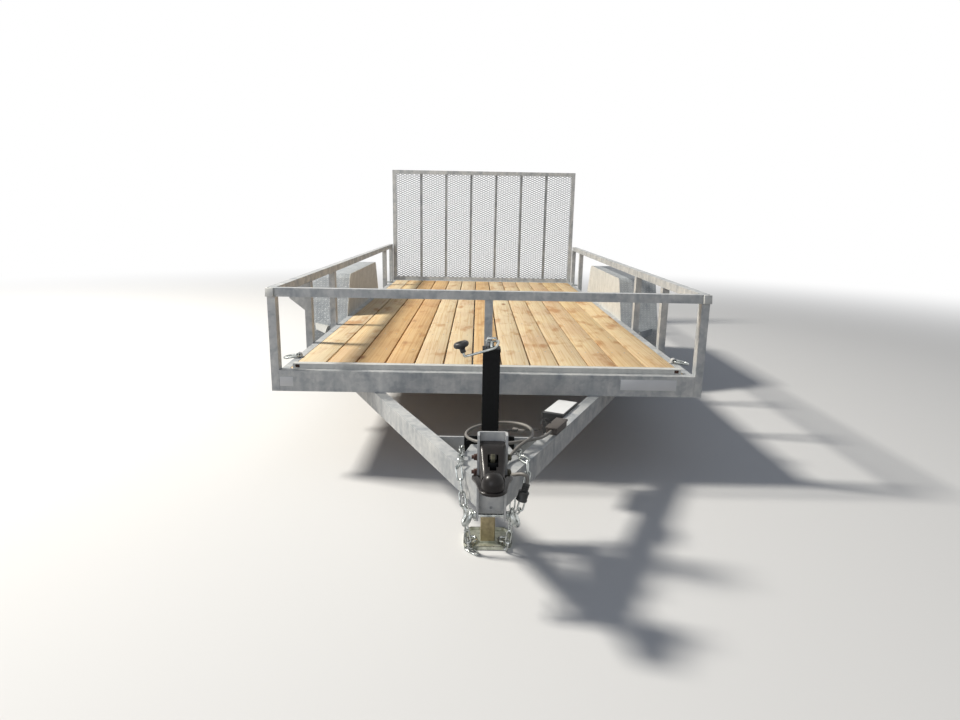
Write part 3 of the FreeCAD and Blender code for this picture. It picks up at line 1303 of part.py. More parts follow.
# Points of the cable's middle line beyond its straight start: across, ahead of the web, above the ground.
CABLE_ROUTE = [
    (160, -328, 442),
    (75, -260, 452),
    (-14, -255, 450),
    (-84, -315, 446),
    (-94, -400, 444),
    (-42, -475, 446),
    (53, -502, 452),
    (138, -460, 458),
    (166, -380, 460),
    (154, -300, 460),
    (112, -242, 456),
    (72, -200, 432),
    (50, -140, 422),
    (46, -70, 424),
    (66, -16, 432),
    (98, 10, 450),
    (118, 28, 444),
    (112, 30, 424),
]


def rounded_path(points, most):
    """Straight runs joined by tangent arcs, each taking at most so much of a run, and their radii."""
    edges = []
    radii = []
    last = points[0]
    for before, here, after in zip(points, points[1:], points[2:]):
        back = (before - here).normalize()
        ahead = (after - here).normalize()
        half_turn = (math.pi - back.getAngle(ahead)) / 2
        reach = min(most, 0.45 * min((before - here).Length, (after - here).Length))
        radius = reach / math.tan(half_turn)
        start = here + back * reach
        end = here + ahead * reach
        bisector = (back + ahead).normalize()
        middle = here + bisector * (radius / math.cos(half_turn) - radius)
        edges.append(Part.LineSegment(last, start).toShape())
        edges.append(Part.Arc(start, middle, end).toShape())
        radii.append(round(radius))
        last = end
    edges.append(Part.LineSegment(last, points[-1]).toShape())
    return Part.Wire(edges), radii


def trailer_cable():
    """The cable from the small box, round the jack and over to the plug that hangs from it."""
    angle = math.radians(amount("tongue_angle"))
    forward = Vector(-math.sin(angle), -math.cos(angle), 0)
    outward = Vector(math.cos(angle), -math.sin(angle), 0)
    corner = Vector(amount("tongue_inner - junction_ahead * tan(tongue_angle * 1 deg) + 2 * lid_lip"),
                    amount("front - junction_ahead"), amount("tongue_top + junction_high / 2"))
    start = corner + outward * amount("junction_wide / 2")
    points = [start, start + forward * amount("cable_start")] + from_web(CABLE_ROUTE)
    path, radii = rounded_path(points, path_length(points))
    radius = amount("cable_diameter / 2")
    ring = Part.Wire(Part.makeCircle(radius, points[0], points[1] - points[0]))
    solid = path.makePipeShell([ring], True, False)
    section = math.pi * radius ** 2
    print("cable radii", radii)
    ratio = solid.Volume / (section * path.Length)
    print("cable length", round(path.Length), "volume ratio", round(ratio, 4))
    plain("trailer_cable", solid)
    down = (points[-1] - points[-2]).normalize()
    sleeve = Part.makeCylinder(2 * radius, 4 * radius, points[-1], down)
    body = Part.makeCylinder(2.6 * radius, 6 * radius, points[-1] + down * 4 * radius, down)
    plain("cable_plug", sleeve.fuse(body))


side_members()
end_crossmembers()
deck()
rails()
fenders()
tongue_pieces()
coupler()
jack()
running_gear()
wheels()
gate()
gate_hinges()
boxes_on_tongue()
tie_rings()
tail_lamps()
safety_chains()
trailer_cable()
doc.recompute()

faults = [item.Name for item in doc.Objects if "Invalid" in item.State or "Error" in item.State]
for part in subparts:
    if part.Shape.isNull() or not part.Shape.isValid():
        faults.append(part.Label)
if faults:
    raise RuntimeError("faulty objects: " + ", ".join(faults))

os.makedirs("parts", exist_ok=True)
for part in subparts:
    part.Shape.exportStep(f"parts/{part.Label}.step")
print(len(subparts), "sub-parts written")
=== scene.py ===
import math

import bmesh
import bpy
from mathutils import Matrix, Vector


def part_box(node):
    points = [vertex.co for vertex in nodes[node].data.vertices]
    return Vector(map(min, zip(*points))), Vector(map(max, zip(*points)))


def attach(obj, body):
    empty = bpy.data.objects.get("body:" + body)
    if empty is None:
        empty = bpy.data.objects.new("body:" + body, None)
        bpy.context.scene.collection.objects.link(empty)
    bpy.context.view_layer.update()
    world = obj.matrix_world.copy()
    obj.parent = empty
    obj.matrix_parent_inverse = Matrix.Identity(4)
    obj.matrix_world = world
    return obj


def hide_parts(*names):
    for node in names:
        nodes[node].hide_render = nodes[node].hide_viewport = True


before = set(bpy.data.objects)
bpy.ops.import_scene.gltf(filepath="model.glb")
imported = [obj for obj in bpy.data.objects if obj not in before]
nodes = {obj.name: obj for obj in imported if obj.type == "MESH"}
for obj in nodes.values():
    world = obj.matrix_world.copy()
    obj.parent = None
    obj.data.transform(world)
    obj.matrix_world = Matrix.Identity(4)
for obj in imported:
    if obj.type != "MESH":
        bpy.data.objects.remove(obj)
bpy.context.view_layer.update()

# Millimetres: the frame's front face and length, the axles along the trailer and the deck's top.
FRONT = -1547.0
LENGTH = 4267.0
AXLES = (420.0, 1260.0)
DECK_TOP = 510.0
# Boards across the deck, their width and the gap between two.
BOARDS = 13
BOARD_WIDTH = 139.7
BOARD_GAP = 9.0
# From the centreline to the middle of a tyre and of a spring, and a tyre's radius.
TYRE_OUT = 1147
SPRING_OUT = 983
TYRE_RADIUS = 343
# From the frame's front face forward to the jack, to the coupler's bolts and to the middle of its ball.
JACK_AHEAD = 670
BOLTS_AHEAD = 1078
BALL_AHEAD = 1198
# The angle of a tongue beam to the centreline.
TONGUE_ANGLE = math.radians(25.7)
SIDES = (("left", -1), ("right", 1))


def linked(name, data):
    """A new object in the scene."""
    thing = bpy.data.objects.new(name, data)
    bpy.context.scene.collection.objects.link(thing)
    return thing


def make_camera():
    """A wide lens held at chest height, 3 m ahead of the frame and a hand's width left of the middle."""
    yaw, pitch, roll = (math.radians(angle) for angle in (0.40, 13.0, 1.03))
    ahead = Vector((math.sin(yaw) * math.cos(pitch), math.cos(yaw) * math.cos(pitch), -math.sin(pitch)))
    level = Vector((math.cos(yaw), -math.sin(yaw), 0))
    up = level.cross(ahead)
    right = level * math.cos(roll) + up * math.sin(roll)
    up = up * math.cos(roll) - level * math.sin(roll)
    data = bpy.data.cameras.new("camera")
    data.lens = 23.94
    data.sensor_width = 36
    data.clip_end = 300
    camera = linked("camera", data)
    camera.matrix_world = Matrix.Translation((-0.058, -4.5255, 1.2652)) @ Matrix(
        (right, up, -ahead)).transposed().to_4x4()
    bpy.context.scene.camera = camera


make_camera()


def linear(code):
    """The linear light of an sRGB hex colour."""
    parts = [int(code[start:start + 2], 16) / 255 for start in (0, 2, 4)]
    return [part / 12.92 if part <= 0.04045 else ((part + 0.055) / 1.055) ** 2.4 for part in parts] + [1]


def add(tree, kind, settings=None, links=None):
    """One shader node; links give hex colours, numbers, vectors, sockets, or nodes for their first output."""
    node = tree.nodes.new("ShaderNode" + kind)
    for name, value in (settings or {}).items():
        if name == "stops":
            spare = node.color_ramp.elements
            while len(spare) < len(value):
                spare.new(0.5)
            for element, (position, code) in zip(spare, value):
                element.position = position
                element.color = linear(code)
        else:
            setattr(node, name, value)
    for name, value in (links or {}).items():
        if isinstance(value, bpy.types.Node):
            value = value.outputs[0]
        if isinstance(value, bpy.types.NodeSocket):
            tree.links.new(value, node.inputs[name])
        else:
            node.inputs[name].default_value = linear(value) if isinstance(value, str) else value
    return node


def start(name):
    """A new material, its tree and the place on the object in metres."""
    material = bpy.data.materials.new(name)
    material.use_nodes = True
    tree = material.node_tree
    tree.nodes.clear()
    return material, tree, add(tree, "TexCoord").outputs["Object"]


def noise(tree, place, scale, detail, **more):
    """Cloudy noise with so many spots a metre, or so many along each axis."""
    if isinstance(scale, tuple):
        place, scale = add(tree, "Mapping", links={"Vector": place, "Scale": scale}), 1.0
    return add(tree, "TexNoise", links={"Vector": place, "Scale": scale, "Detail": detail, **more})


def calc(tree, operation, *values):
    """A sum on numbers."""
    return add(tree, "Math", {"operation": operation}, dict(enumerate(values)))


def weighed(tree, share, first, second):
    """A number between two others."""
    return add(tree, "Mix", {"data_type": "FLOAT"}, {0: share, 2: first, 3: second})


def mixed(tree, share, first, second, blend="MIX"):
    """A colour mixed from two others."""
    return add(tree, "Mix", {"data_type": "RGBA", "blend_type": blend}, {0: share, 6: first, 7: second}).outputs[2]


def graded(tree, value, stops):
    """A colour from a ramp of stops."""
    return add(tree, "ValToRGB", {"stops": stops}, {"Fac": value})


def ranged(tree, value, low, high, first, last, kind="LINEAR"):
    """A number that goes from first to last while a value goes from low to high."""
    return add(tree, "MapRange", {"interpolation_type": kind}, {"Value": value, "From Min": low, "From Max": high,
                                                                "To Min": first, "To Max": last})


def close(tree, height, depth, links):
    """Ends a tree with a bump of a depth in metres and the surface's own values."""
    bump = add(tree, "Bump", links={"Height": height, "Distance": depth, "Strength": 1.0})
    shader = add(tree, "BsdfPrincipled", links={**links, "Normal": bump})
    add(tree, "OutputMaterial", links={"Surface": shader})


def hot_dip_galvanised(name, dark, light, metal=0.25, pattern=None):
    """Zinc dipped steel: soft grey blotches a hand wide, faint crystals and runs, half dull and half bright."""
    material, tree, place = start(name)
    blotch = noise(tree, place, 11.0, 6.0, Roughness=0.55, Distortion=0.6)
    warped = add(tree, "MixRGB", {"blend_type": "LINEAR_LIGHT"}, {"Fac": 0.03, "Color1": place,
                                                                   "Color2": blotch.outputs["Color"]})
    crystal = add(tree, "TexVoronoi", {"feature": "SMOOTH_F1"},
                  {"Vector": warped, "Scale": 60.0, "Smoothness": 0.4})
    grey = add(tree, "RGBToBW", links={"Color": crystal.outputs["Color"]})
    streak = noise(tree, place, (30, 30, 4), 3.0)
    tone = weighed(tree, 0.3, weighed(tree, 0.18, blotch, grey), streak)
    shade = graded(tree, tone, [(0.30, dark), (0.70, light)])
    rough = ranged(tree, tone, 0.3, 0.7, 0.60, 0.45)
    height, depth = noise(tree, place, 320.0, 2.0), 0.0003
    if pattern:
        height, depth = pattern(tree, place), 0.002
        shade = mixed(tree, calc(tree, "MULTIPLY", height, 0.4), shade, "DCDEDE")
    close(tree, height, depth, {"Base Color": shade, "Metallic": metal, "Roughness": rough})
    return material


def tread_bars(tree, place):
    """Height of raised bars 23 mm apart that lean left and right in turn, as on rolled tread plate."""
    parts = add(tree, "SeparateXYZ", links={"Vector": place})
    slope = calc(tree, "ADD", parts.outputs["Y"], parts.outputs["Z"])
    cells = []
    for source in (parts.outputs["X"], slope):
        count = calc(tree, "MULTIPLY", source, 1 / 0.023)
        whole = calc(tree, "FLOOR", count)
        cells.append((whole, calc(tree, "SUBTRACT", calc(tree, "SUBTRACT", count, whole), 0.5)))
    (row, across), (line, along) = cells
    odd = calc(tree, "FLOORED_MODULO", calc(tree, "ADD", row, line), 2.0)
    rising, falling = calc(tree, "ADD", across, along), calc(tree, "SUBTRACT", across, along)
    spread = add(tree, "CombineXYZ", links={"X": weighed(tree, odd, rising, falling),
                                            "Y": weighed(tree, odd, falling, rising)})
    shape = add(tree, "VectorMath", {"operation": "MULTIPLY"}, {0: spread, 1: (1.1, 4.0, 0)})
    reach = add(tree, "VectorMath", {"operation": "LENGTH"}, {0: shape})
    return ranged(tree, reach.outputs["Value"], 0.45, 0.75, 1.0, 0.0, "SMOOTHSTEP")


def plain_metal(name, light, dark, rough, depth=0.0001, scale=60.0, metal=1.0, coat=0.0, shine=0.5):
    """A plated or painted steel surface with faint cloudiness and small dents."""
    material, tree, place = start(name)
    cloud = noise(tree, place, scale, 4.0)
    colour = graded(tree, cloud, [(0.3, dark), (0.7, light)])
    gloss = ranged(tree, cloud, 0.3, 0.7, rough * 1.25, rough * 0.8)
    close(tree, cloud, depth, {"Base Color": colour, "Metallic": metal, "Roughness": gloss, "Coat Weight": coat,
                               "Coat Roughness": 0.12, "Specular IOR Level": shine})
    return material


def sawn_pine():
    """Sawn pine: long pale straw grain, each board in its own tone, with brown stains and small knots."""
    material, tree, place = start("sawn_pine")
    parts = add(tree, "SeparateXYZ", links={"Vector": place})
    count = calc(tree, "MULTIPLY_ADD", parts.outputs["X"], 1000 / (BOARD_WIDTH + BOARD_GAP), BOARDS / 2)
    chance = add(tree, "TexWhiteNoise", {"noise_dimensions": "1D"}, {"W": calc(tree, "FLOOR", count)})
    away = add(tree, "VectorMath", {"operation": "MULTIPLY_ADD"},
               {0: chance.outputs["Color"], 1: (9, 9, 9), 2: place})
    rings = noise(tree, away, (26, 0.32, 26), 3.0, Roughness=0.5, Distortion=0.12)
    saw = calc(tree, "FRACT", calc(tree, "MULTIPLY", rings, 7.0))
    fine = noise(tree, away, (260, 5, 260), 3.0)
    cloud = noise(tree, away, 2.6, 4.0)
    knot_place = add(tree, "Mapping", links={"Vector": away, "Scale": (5, 1.6, 5)})
    knot = add(tree, "TexVoronoi", links={"Vector": knot_place, "Scale": 1.0, "Randomness": 1.0})
    inside = ranged(tree, knot, 0.04, 0.12, 1.0, 0.0)
    dark = ranged(tree, noise(tree, away, (11, 4, 11), 3.0), 0.52, 0.72, 0.0, 0.72, "SMOOTHSTEP")
    wood = graded(tree, saw, [(0.0, "D4C3A7"), (0.55, "D8C9B0"), (0.85, "CEB898"), (1.0, "C4AB88")])
    tint = graded(tree, chance, [(0.0, "FFF7E6"), (0.30, "F6E3BC"), (0.6, "FFFAEE"), (0.85, "EFCB93"),
                                 (1.0, "F8EAD0")])
    toned = mixed(tree, 0.9, wood, tint, "MULTIPLY")
    streaked = mixed(tree, 0.17, toned, fine, "OVERLAY")
    clouded = mixed(tree, 0.38, streaked, cloud, "OVERLAY")
    stained = mixed(tree, dark, clouded, "A67340")
    close(tree, fine, 0.0012, {"Base Color": mixed(tree, inside, stained, "8C6036"), "Roughness": 0.75})
    return material


def moulded(name, dark, light, rough, scale, depth):
    """Moulded rubber or plastic with a fine grain and a dusty bloom."""
    material, tree, place = start(name)
    colour = graded(tree, noise(tree, place, 8.0, 5.0), [(0.35, dark), (0.75, light)])
    close(tree, noise(tree, place, scale, 2.0), depth, {"Base Color": colour, "Roughness": rough})
    return material


# Frame, rails, posts, tongue, welds and ring straps.
GALVANISED = hot_dip_galvanised("hot_dip_galvanised", "898F95", "CFCFCC")
# Fender panels, the bar over the boards' ends, rail caps and the left bracket.
DUSTY_ZINC = hot_dip_galvanised("fresh_galvanised_sheet", "B6B7B3", "D6D6D2", metal=0.15)
# Fenders and skirts.
TREAD_PLATE = hot_dip_galvanised("galvanised_tread_plate", "868C91", "AEB2B4", pattern=tread_bars)
# The gate's strands, and the right fender bracket, whose darker zinc is painted shade.
MESH_ZINC = hot_dip_galvanised("dull_galvanised_mesh", "62696E", "868C91")
# Chains, rings, crank, screws, bolts and hubs.
BRIGHT_ZINC = plain_metal("bright_zinc_plate", "C6C9C6", "7E8382", 0.26)
# The jack's foot.
PALE_ZINC = plain_metal("pale_green_zinc_plate", "D3D5C8", "9FA394", 0.34, metal=0.7)
# The jack's leg.
YELLOW_ZINC = plain_metal("yellow_zinc_plate", "B9AB86", "918468", 0.42, metal=0.5)
# Nuts on the coupler's left, and dark blocks in the slots of the bar over the boards' ends, as painted shade.
RUSTY_NUT = plain_metal("rust_stained_nut", "4B2A1F", "2B1A15", 0.7, depth=0.0004, scale=160.0, metal=0.1)
# Nuts on its right, and the latch lever, a zinc part given this dark finish as painted shade.
OILED_NUT = plain_metal("oiled_steel_nut", "4E4C3B", "2F2E26", 0.5, depth=0.0003, scale=160.0, metal=0.5)
# Jack tube, axles and springs; also the blocks inside the coupler, the clamp painted black as painted shade of the
# hollow.
BLACK_PAINT = plain_metal("black_powder_coat", "0C0D0F", "060708", 0.5, metal=0.0, shine=0.15)
COUPLER_PAINT = plain_metal("bronze_black_enamel", "211C1B", "100E0D", 0.34, metal=0.15, coat=0.12, shine=0.25)
PINE = sawn_pine()
RUBBER = moulded("tyre_rubber", "19191A", "2A2A2B", 0.8, 700.0, 0.0003)
# Battery box, knob, plug, wires and lamp bezels.
BLACK_PLASTIC = moulded("black_moulded_plastic", "111214", "1B1C1E", 0.42, 500.0, 0.0001)
# Cable box.
DUSTY_PLASTIC = moulded("dusty_grey_plastic", "3A3532", "57504B", 0.6, 400.0, 0.0001)
# Cable and its connector.
CABLE_VINYL = moulded("grey_vinyl_jacket", "6E6B66", "8A8680", 0.5, 400.0, 0.0001)
# Blank plates and the label on the lid.
WHITE_FILM = moulded("white_vinyl_film", "E6E7E7", "F0F1F1", 0.35, 60.0, 0.00005)
RED_LENS = moulded("red_acrylic_lens", "8E0E10", "B11416", 0.15, 120.0, 0.0002)
# Rims.
WHITE_PAINT = plain_metal("white_wheel_enamel", "E4E6E7", "D3D6D8", 0.3, metal=0.0, coat=0.5)

FINISHES = {
    "battery_box": BLACK_PLASTIC,
    "cable_plug": BLACK_PLASTIC,
    "coupler_housing": COUPLER_PAINT,
    "coupler_latch": COUPLER_PAINT,
    "deck_boards": PINE,
    "jack_crank": BRIGHT_ZINC,
    "jack_knob": BLACK_PLASTIC,
    "jack_leg": PALE_ZINC,
    "junction_box": DUSTY_PLASTIC,
    "jack_tube": BLACK_PAINT,
    "tail_lamps": RED_LENS,
    "tie_rings": BRIGHT_ZINC,
    "trailer_cable": CABLE_VINYL,
    "axle_beams": BLACK_PAINT,
    "leaf_springs": BLACK_PAINT,
}
PREFIXES = (("tyre_", RUBBER), ("rim_", WHITE_PAINT), ("fender_", TREAD_PLATE), ("fender_panel", DUSTY_ZINC),
            ("safety_chain", BRIGHT_ZINC), ("board_retainer", DUSTY_ZINC))


def dress_nodes():
    """Every CAD node gets its finish; the rest of the steel is galvanised."""
    for name, node in nodes.items():
        finish = FINISHES.get(name, GALVANISED)
        for prefix, shared in PREFIXES:
            if name.startswith(prefix):
                finish = shared
        node.data.materials.clear()
        node.data.materials.append(finish)


dress_nodes()


def piece(name, bm, material, body, replaced=(), sharp=38.0):
    """A finished piece from a bmesh in millimetres, smooth but for its sharp edges."""
    bmesh.ops.recalc_face_normals(bm, faces=bm.faces)
    bmesh.ops.scale(bm, vec=(0.001, 0.001, 0.001), verts=bm.verts)
    mesh = bpy.data.meshes.new(name)
    bm.to_mesh(mesh)
    bm.free()
    mesh.set_sharp_from_angle(angle=math.radians(sharp))
    mesh.materials.append(material)
    thing = linked(name, mesh)
    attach(thing, body)
    if replaced:
        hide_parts(*replaced)
    return thing


def corners_of(name):
    """The low and the high corner of a CAD node's box in millimetres."""
    return [corner * 1000 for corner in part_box(name)]


def ease(bm, edges, width, segments=2):
    """Rounds some edges."""
    bmesh.ops.bevel(bm, geom=edges, offset=width, offset_type="OFFSET", segments=segments, profile=0.5,
                    affect="EDGES", material=-1)


def edges_at(verts):
    """Every edge that ends at some corners."""
    return list({edge for vert in verts for edge in vert.link_edges})


def block(bm, low, high, bevel=0.0, segments=2, turn=None):
    """A box between two opposite corners with bevelled edges, and turned by a matrix if one is given."""
    low, high = (Vector([pick(pair) for pair in zip(low, high)]) for pick in (min, max))
    matrix = Matrix.Translation((low + high) / 2) @ Matrix.Diagonal((*(high - low), 1))
    made = bmesh.ops.create_cube(bm, size=1, matrix=(turn or Matrix()) @ matrix)
    if bevel:
        ease(bm, edges_at(made["verts"]), bevel, segments)


def turned(bm, outline, centre, axis, steps=32, closed=False):
    """A solid of an outline of distances along an axis and radii, turned about that axis."""
    axis = Vector(axis).normalized()
    side = axis.orthogonal().normalized()
    centre = Vector(centre)
    verts = [bm.verts.new(centre + axis * along + side * radius) for along, radius in outline]
    edges = [bm.edges.new(pair) for pair in zip(verts, verts[1:])]
    if closed:
        edges.append(bm.edges.new((verts[-1], verts[0])))
    bmesh.ops.spin(bm, geom=verts + edges, cent=centre, axis=axis, angle=math.tau, steps=steps, use_merge=True)
    middle = [vert for vert in bm.verts if (vert.co - centre).cross(axis).length < 0.001]
    bmesh.ops.remove_doubles(bm, verts=middle, dist=0.001)


def prism(bm, corners, push, bevel=0.0):
    """A solid of a flat outline pushed along a vector; gives the pushed corners."""
    face = bm.faces.new([bm.verts.new(corner) for corner in corners])
    made = bmesh.ops.extrude_face_region(bm, geom=[face])["geom"]
    verts = [item for item in made if isinstance(item, bmesh.types.BMVert)]
    bmesh.ops.translate(bm, vec=push, verts=verts)
    if bevel:
        ease(bm, edges_at(verts + list(face.verts)), bevel)
    return verts


def bar_mesh(points, radius, closed=False, sides=10, smooth=True):
    """The mesh of a round bar along points in millimetres."""
    data = bpy.data.curves.new("bar", "CURVE")
    data.dimensions = "3D"
    data.bevel_depth = radius
    data.bevel_resolution = max(0, sides // 2 - 2)
    data.resolution_u = 4
    data.use_fill_caps = not closed
    spline = data.splines.new("NURBS" if smooth else "POLY")
    spline.points.add(len(points) - 1)
    for point, place in zip(spline.points, points):
        point.co = (*place, 1)
    spline.use_cyclic_u = closed
    if smooth:
        spline.use_endpoint_u = not closed
        spline.order_u = 3
    thing = bpy.data.objects.new("bar", data)
    mesh = bpy.data.meshes.new_from_object(thing)
    bpy.data.objects.remove(thing)
    bpy.data.curves.remove(data)
    return mesh


def swept(bm, points, radius, matrix=None, **settings):
    """Adds a round bar along points."""
    mesh = bar_mesh(points, radius, **settings)
    if matrix:
        mesh.transform(matrix)
    first = len(bm.verts)
    bm.from_mesh(mesh)
    bpy.data.meshes.remove(mesh)
    bm.verts.ensure_lookup_table()
    bmesh.ops.remove_doubles(bm, verts=bm.verts[first:], dist=0.01)


def hexagon(bm, centre, axis, across, thick, bevel=0.6):
    """A hexagonal nut or bolt head that starts at a centre and is so wide across its flats."""
    turn = Vector((0, 0, 1)).rotation_difference(Vector(axis)).to_matrix().to_4x4()
    matrix = Matrix.Translation(Vector(centre) + Vector(axis) * thick / 2) @ turn
    radius = across / math.sqrt(3)
    made = bmesh.ops.create_cone(bm, cap_ends=True, segments=6, radius1=radius, radius2=radius, depth=thick,
                                 matrix=matrix)
    ease(bm, edges_at(made["verts"]), bevel, 1)


def rod(bm, start_at, end_at, radius, sides=16):
    """A straight round rod between two points."""
    start_at, end_at = Vector(start_at), Vector(end_at)
    turn = Vector((0, 0, 1)).rotation_difference(end_at - start_at).to_matrix().to_4x4()
    bmesh.ops.create_cone(bm, cap_ends=True, segments=sides, radius1=radius, radius2=radius,
                          depth=(end_at - start_at).length,
                          matrix=Matrix.Translation((start_at + end_at) / 2) @ turn)


def ahead(across, distance, height):
    """A point so far ahead of the frame's front face."""
    return Vector((across, FRONT - distance, height))


def deck_boards():
    """Thirteen boards with eased edges, laid from the front crossmember to the rear one."""
    low, high = corners_of("deck_boards")
    bm = bmesh.new()
    pitch = (high.x - low.x + BOARD_GAP) / BOARDS
    for number in range(BOARDS):
        left = low.x + number * pitch
        block(bm, (left, low.y, low.z), (left + pitch - BOARD_GAP, high.y, high.z), bevel=2.5)
    piece("pine_boards", bm, PINE, "chassis", ["deck_boards"])
    bm = bmesh.new()
    for row in range(1, 9):
        for number in range(BOARDS):
            for share in (0.25, 0.75):
                spot = Vector((low.x + number * pitch + share * BOARD_WIDTH, FRONT + 50 + 458 * row + 22,
                               DECK_TOP))
                bmesh.ops.create_cone(bm, cap_ends=True, segments=8, radius1=4.6, radius2=3.6, depth=0.8,
                                      matrix=Matrix.Translation(spot + Vector((0, 0, 0.3))))
    piece("deck_screws", bm, BRIGHT_ZINC, "chassis")


def gate_mesh():
    """Two layers of crossing strands that leave diamonds 50.8 mm wide and 23.4 mm high."""
    low, high = corners_of("gate_bars")
    half, base, top = 962.0, low.z, high.z  # the window inside the gate's frame
    pitch = 23.4
    slope = pitch / 50.8
    rise = slope * 2 * half
    for layer, (name, way) in enumerate((("gate_mesh_rising", 1), ("gate_mesh_falling", -1))):
        back = corners_of(name)[0].y
        bm = bmesh.new()
        for number in range(int((top - base + rise) / pitch)):
            height = base - rise + (number + 0.7) * pitch
            left, right = -half, half
            left = max(left, -half + (base + 1.5 - height) / slope)
            right = min(right, -half + (top - 1.5 - height) / slope)
            if right - left < 8:
                continue
            ends = [Vector((way * across, back, height + (across + half) * slope)) for across in (left, right)]
            half_wide = Vector((0, 0, 2.5))
            loop = [ends[0] - half_wide, ends[1] - half_wide, ends[1] + half_wide, ends[0] + half_wide]
            prism(bm, loop, (0, 1.5, 0))
        piece("strands_" + name[10:], bm, MESH_ZINC, "ramp_gate", [name])


def coupler():
    """A pressed coupler: shell with slits and a slot for the latch, dome over the ball, flared lip, latch."""
    # Cross sections of the shell: distance ahead, half its width, its top, the radius of its shoulders.
    sections = [(1054, 40.5, 558, 8), (1088, 40.5, 560, 8), (1104, 40.2, 556, 10), (1116, 39.6, 549, 12),
                (1130, 38.8, 540, 13), (1145, 37.8, 529.5, 14), (1168, 36.6, 515, 16), (1180, 36.2, 508, 16),
                (1200, 35.4, 500, 16)]
    rows = []
    bm = bmesh.new()
    for distance, half, top, round_off in sections:
        profile = [(-half, 452)]
        for turn in (180, 157.5, 135, 112.5, 90):
            angle = math.radians(turn)
            profile.append((-half + round_off + round_off * math.cos(angle),
                            top - round_off + round_off * math.sin(angle)))
        profile += [(-16.5, top + 0.3), (-10.5, top + 0.6)]
        profile += [(-across, up) for across, up in reversed(profile)]
        rows.append([bm.verts.new(ahead(across, distance, up)) for across, up in profile])
    slits, slot = (6, 8), 7
    for number, (near, far) in enumerate(zip(rows, rows[1:])):
        for left in range(len(near) - 1):
            if left in slits and number in (4, 5) or left == slot and number in (5, 6):
                continue
            bm.faces.new((near[left], near[left + 1], far[left + 1], far[left]))
    bmesh.ops.recalc_face_normals(bm, faces=bm.faces)
    bmesh.ops.solidify(bm, geom=bm.faces[:] + bm.edges[:] + bm.verts[:], thickness=5)
    arc = [math.radians(turn) for turn in range(0, 91, 10)]
    outer, inner, rise = 35.0, 27.0, 26.0
    dome = [(0.0, outer)] + [(rise + outer * math.sin(angle), outer * math.cos(angle)) for angle in arc]
    hollow = [(rise + inner * math.sin(angle), inner * math.cos(angle)) for angle in reversed(arc)]
    turned(bm, dome + hollow + [(0.0, inner)], ahead(0, BALL_AHEAD, 450), (0, 0, 1), steps=48, closed=True)
    # The lip's outline from above: across and ahead, closed by an arc round the nose.
    lip = [(-58, 1093), (-64, 1099), (-64.5, 1112), (-52, 1146), (-47, 1176)]
    for turn in range(180, 361, 12):
        angle = math.radians(turn)
        lip.append((44 * math.cos(angle), 1196 - 43.5 * math.sin(angle)))
    lip += [(-across, distance) for across, distance in reversed(lip[:5])]

    def ring(shrink, up):
        """The lip's outline drawn in by a distance at a height."""
        verts = []
        for across, distance in lip:
            middle = Vector((0, min(distance, 1196)))
            spot = Vector((across, distance)) - middle
            spot += middle - spot.normalized() * shrink
            verts.append(bm.verts.new(ahead(spot.x, spot.y + shrink * max(0, (1112 - distance) / 19), up)))
        return [bm.edges.new((verts[at], verts[(at + 1) % len(verts)])) for at in range(len(verts))]

    loops = [ring(1.5, 448.5), ring(0, 450), ring(0, 456.5), ring(1.5, 458), ring(8, 458.5), ring(18, 462),
             ring(18, 455), ring(10, 450)]
    for at in range(len(loops)):
        bmesh.ops.bridge_loops(bm, edges=loops[at] + loops[(at + 1) % len(loops)])
    piece("coupler_shell", bm, COUPLER_PAINT, "chassis", ["coupler_housing"], sharp=40)

    bm = bmesh.new()
    # The clamp inside the shell, painted black as painted shade of the hollow under the slot.
    block(bm, ahead(-11, 1188, 470), ahead(11, 1150, 496), bevel=2)
    block(bm, ahead(-22, 1150, 470), ahead(22, 1062, 520), bevel=2)
    piece("coupler_inside", bm, BLACK_PAINT, "chassis")
    bm = bmesh.new()
    lever = [(1128, 536), (1130, 543), (1135, 541.5), (1147, 532), (1148, 520), (1130, 522)]
    prism(bm, [ahead(-7, *spot) for spot in lever], (14, 0, 0), bevel=1.5)
    # The lever is zinc; its dark oiled-steel finish is painted shade.
    piece("latch_lever", bm, OILED_NUT, "chassis", ["coupler_latch"])


def coupler_bolts():
    """Two bolts with nuts, rusty on one side, and the polished bolt and shackles that carry the chains."""
    for name, way, material in (("rusty_nuts", -1, RUSTY_NUT), ("oiled_nuts", 1, OILED_NUT)):
        bm = bmesh.new()
        for height in (461, 511):
            end = 66 if way < 0 else 61
            rod(bm, ahead(way * 20, BOLTS_AHEAD, height), ahead(way * end, BOLTS_AHEAD, height), 6)
            hexagon(bm, ahead(way * 50, BOLTS_AHEAD, height), (way, 0, 0), 18, 9)
            turned(bm, [(0, 7), (0, 12), (2, 12), (2, 7)], ahead(way * 48, BOLTS_AHEAD, height), (way, 0, 0),
                   steps=20, closed=True)
        piece(name, bm, material, "chassis", ["coupler_bolts"] if way < 0 else ())
    bm = bmesh.new()
    rod(bm, ahead(-66, BOLTS_AHEAD, 311), ahead(66, BOLTS_AHEAD, 311), 5.8)
    for way in (-1, 1):
        hexagon(bm, ahead(way * 57, BOLTS_AHEAD, 311), (way, 0, 0), 18, 8)
        turned(bm, [(0, 6), (0, 15), (2.2, 15), (2.2, 6)], ahead(way * 55.4, BOLTS_AHEAD, 311), (way, 0, 0),
               steps=24, closed=True)
        shackle = [ahead(way * across, distance, height) for across, distance, height in (
            (66, 1096, 318), (65, 1078, 325), (70, 1060, 319), (82, 1056, 300), (90, 1068, 282), (86, 1086, 278),
            (76, 1098, 292))]
        swept(bm, shackle, 7.6, closed=True, sides=12)
    piece("chain_bolt", bm, BRIGHT_ZINC, "chassis")


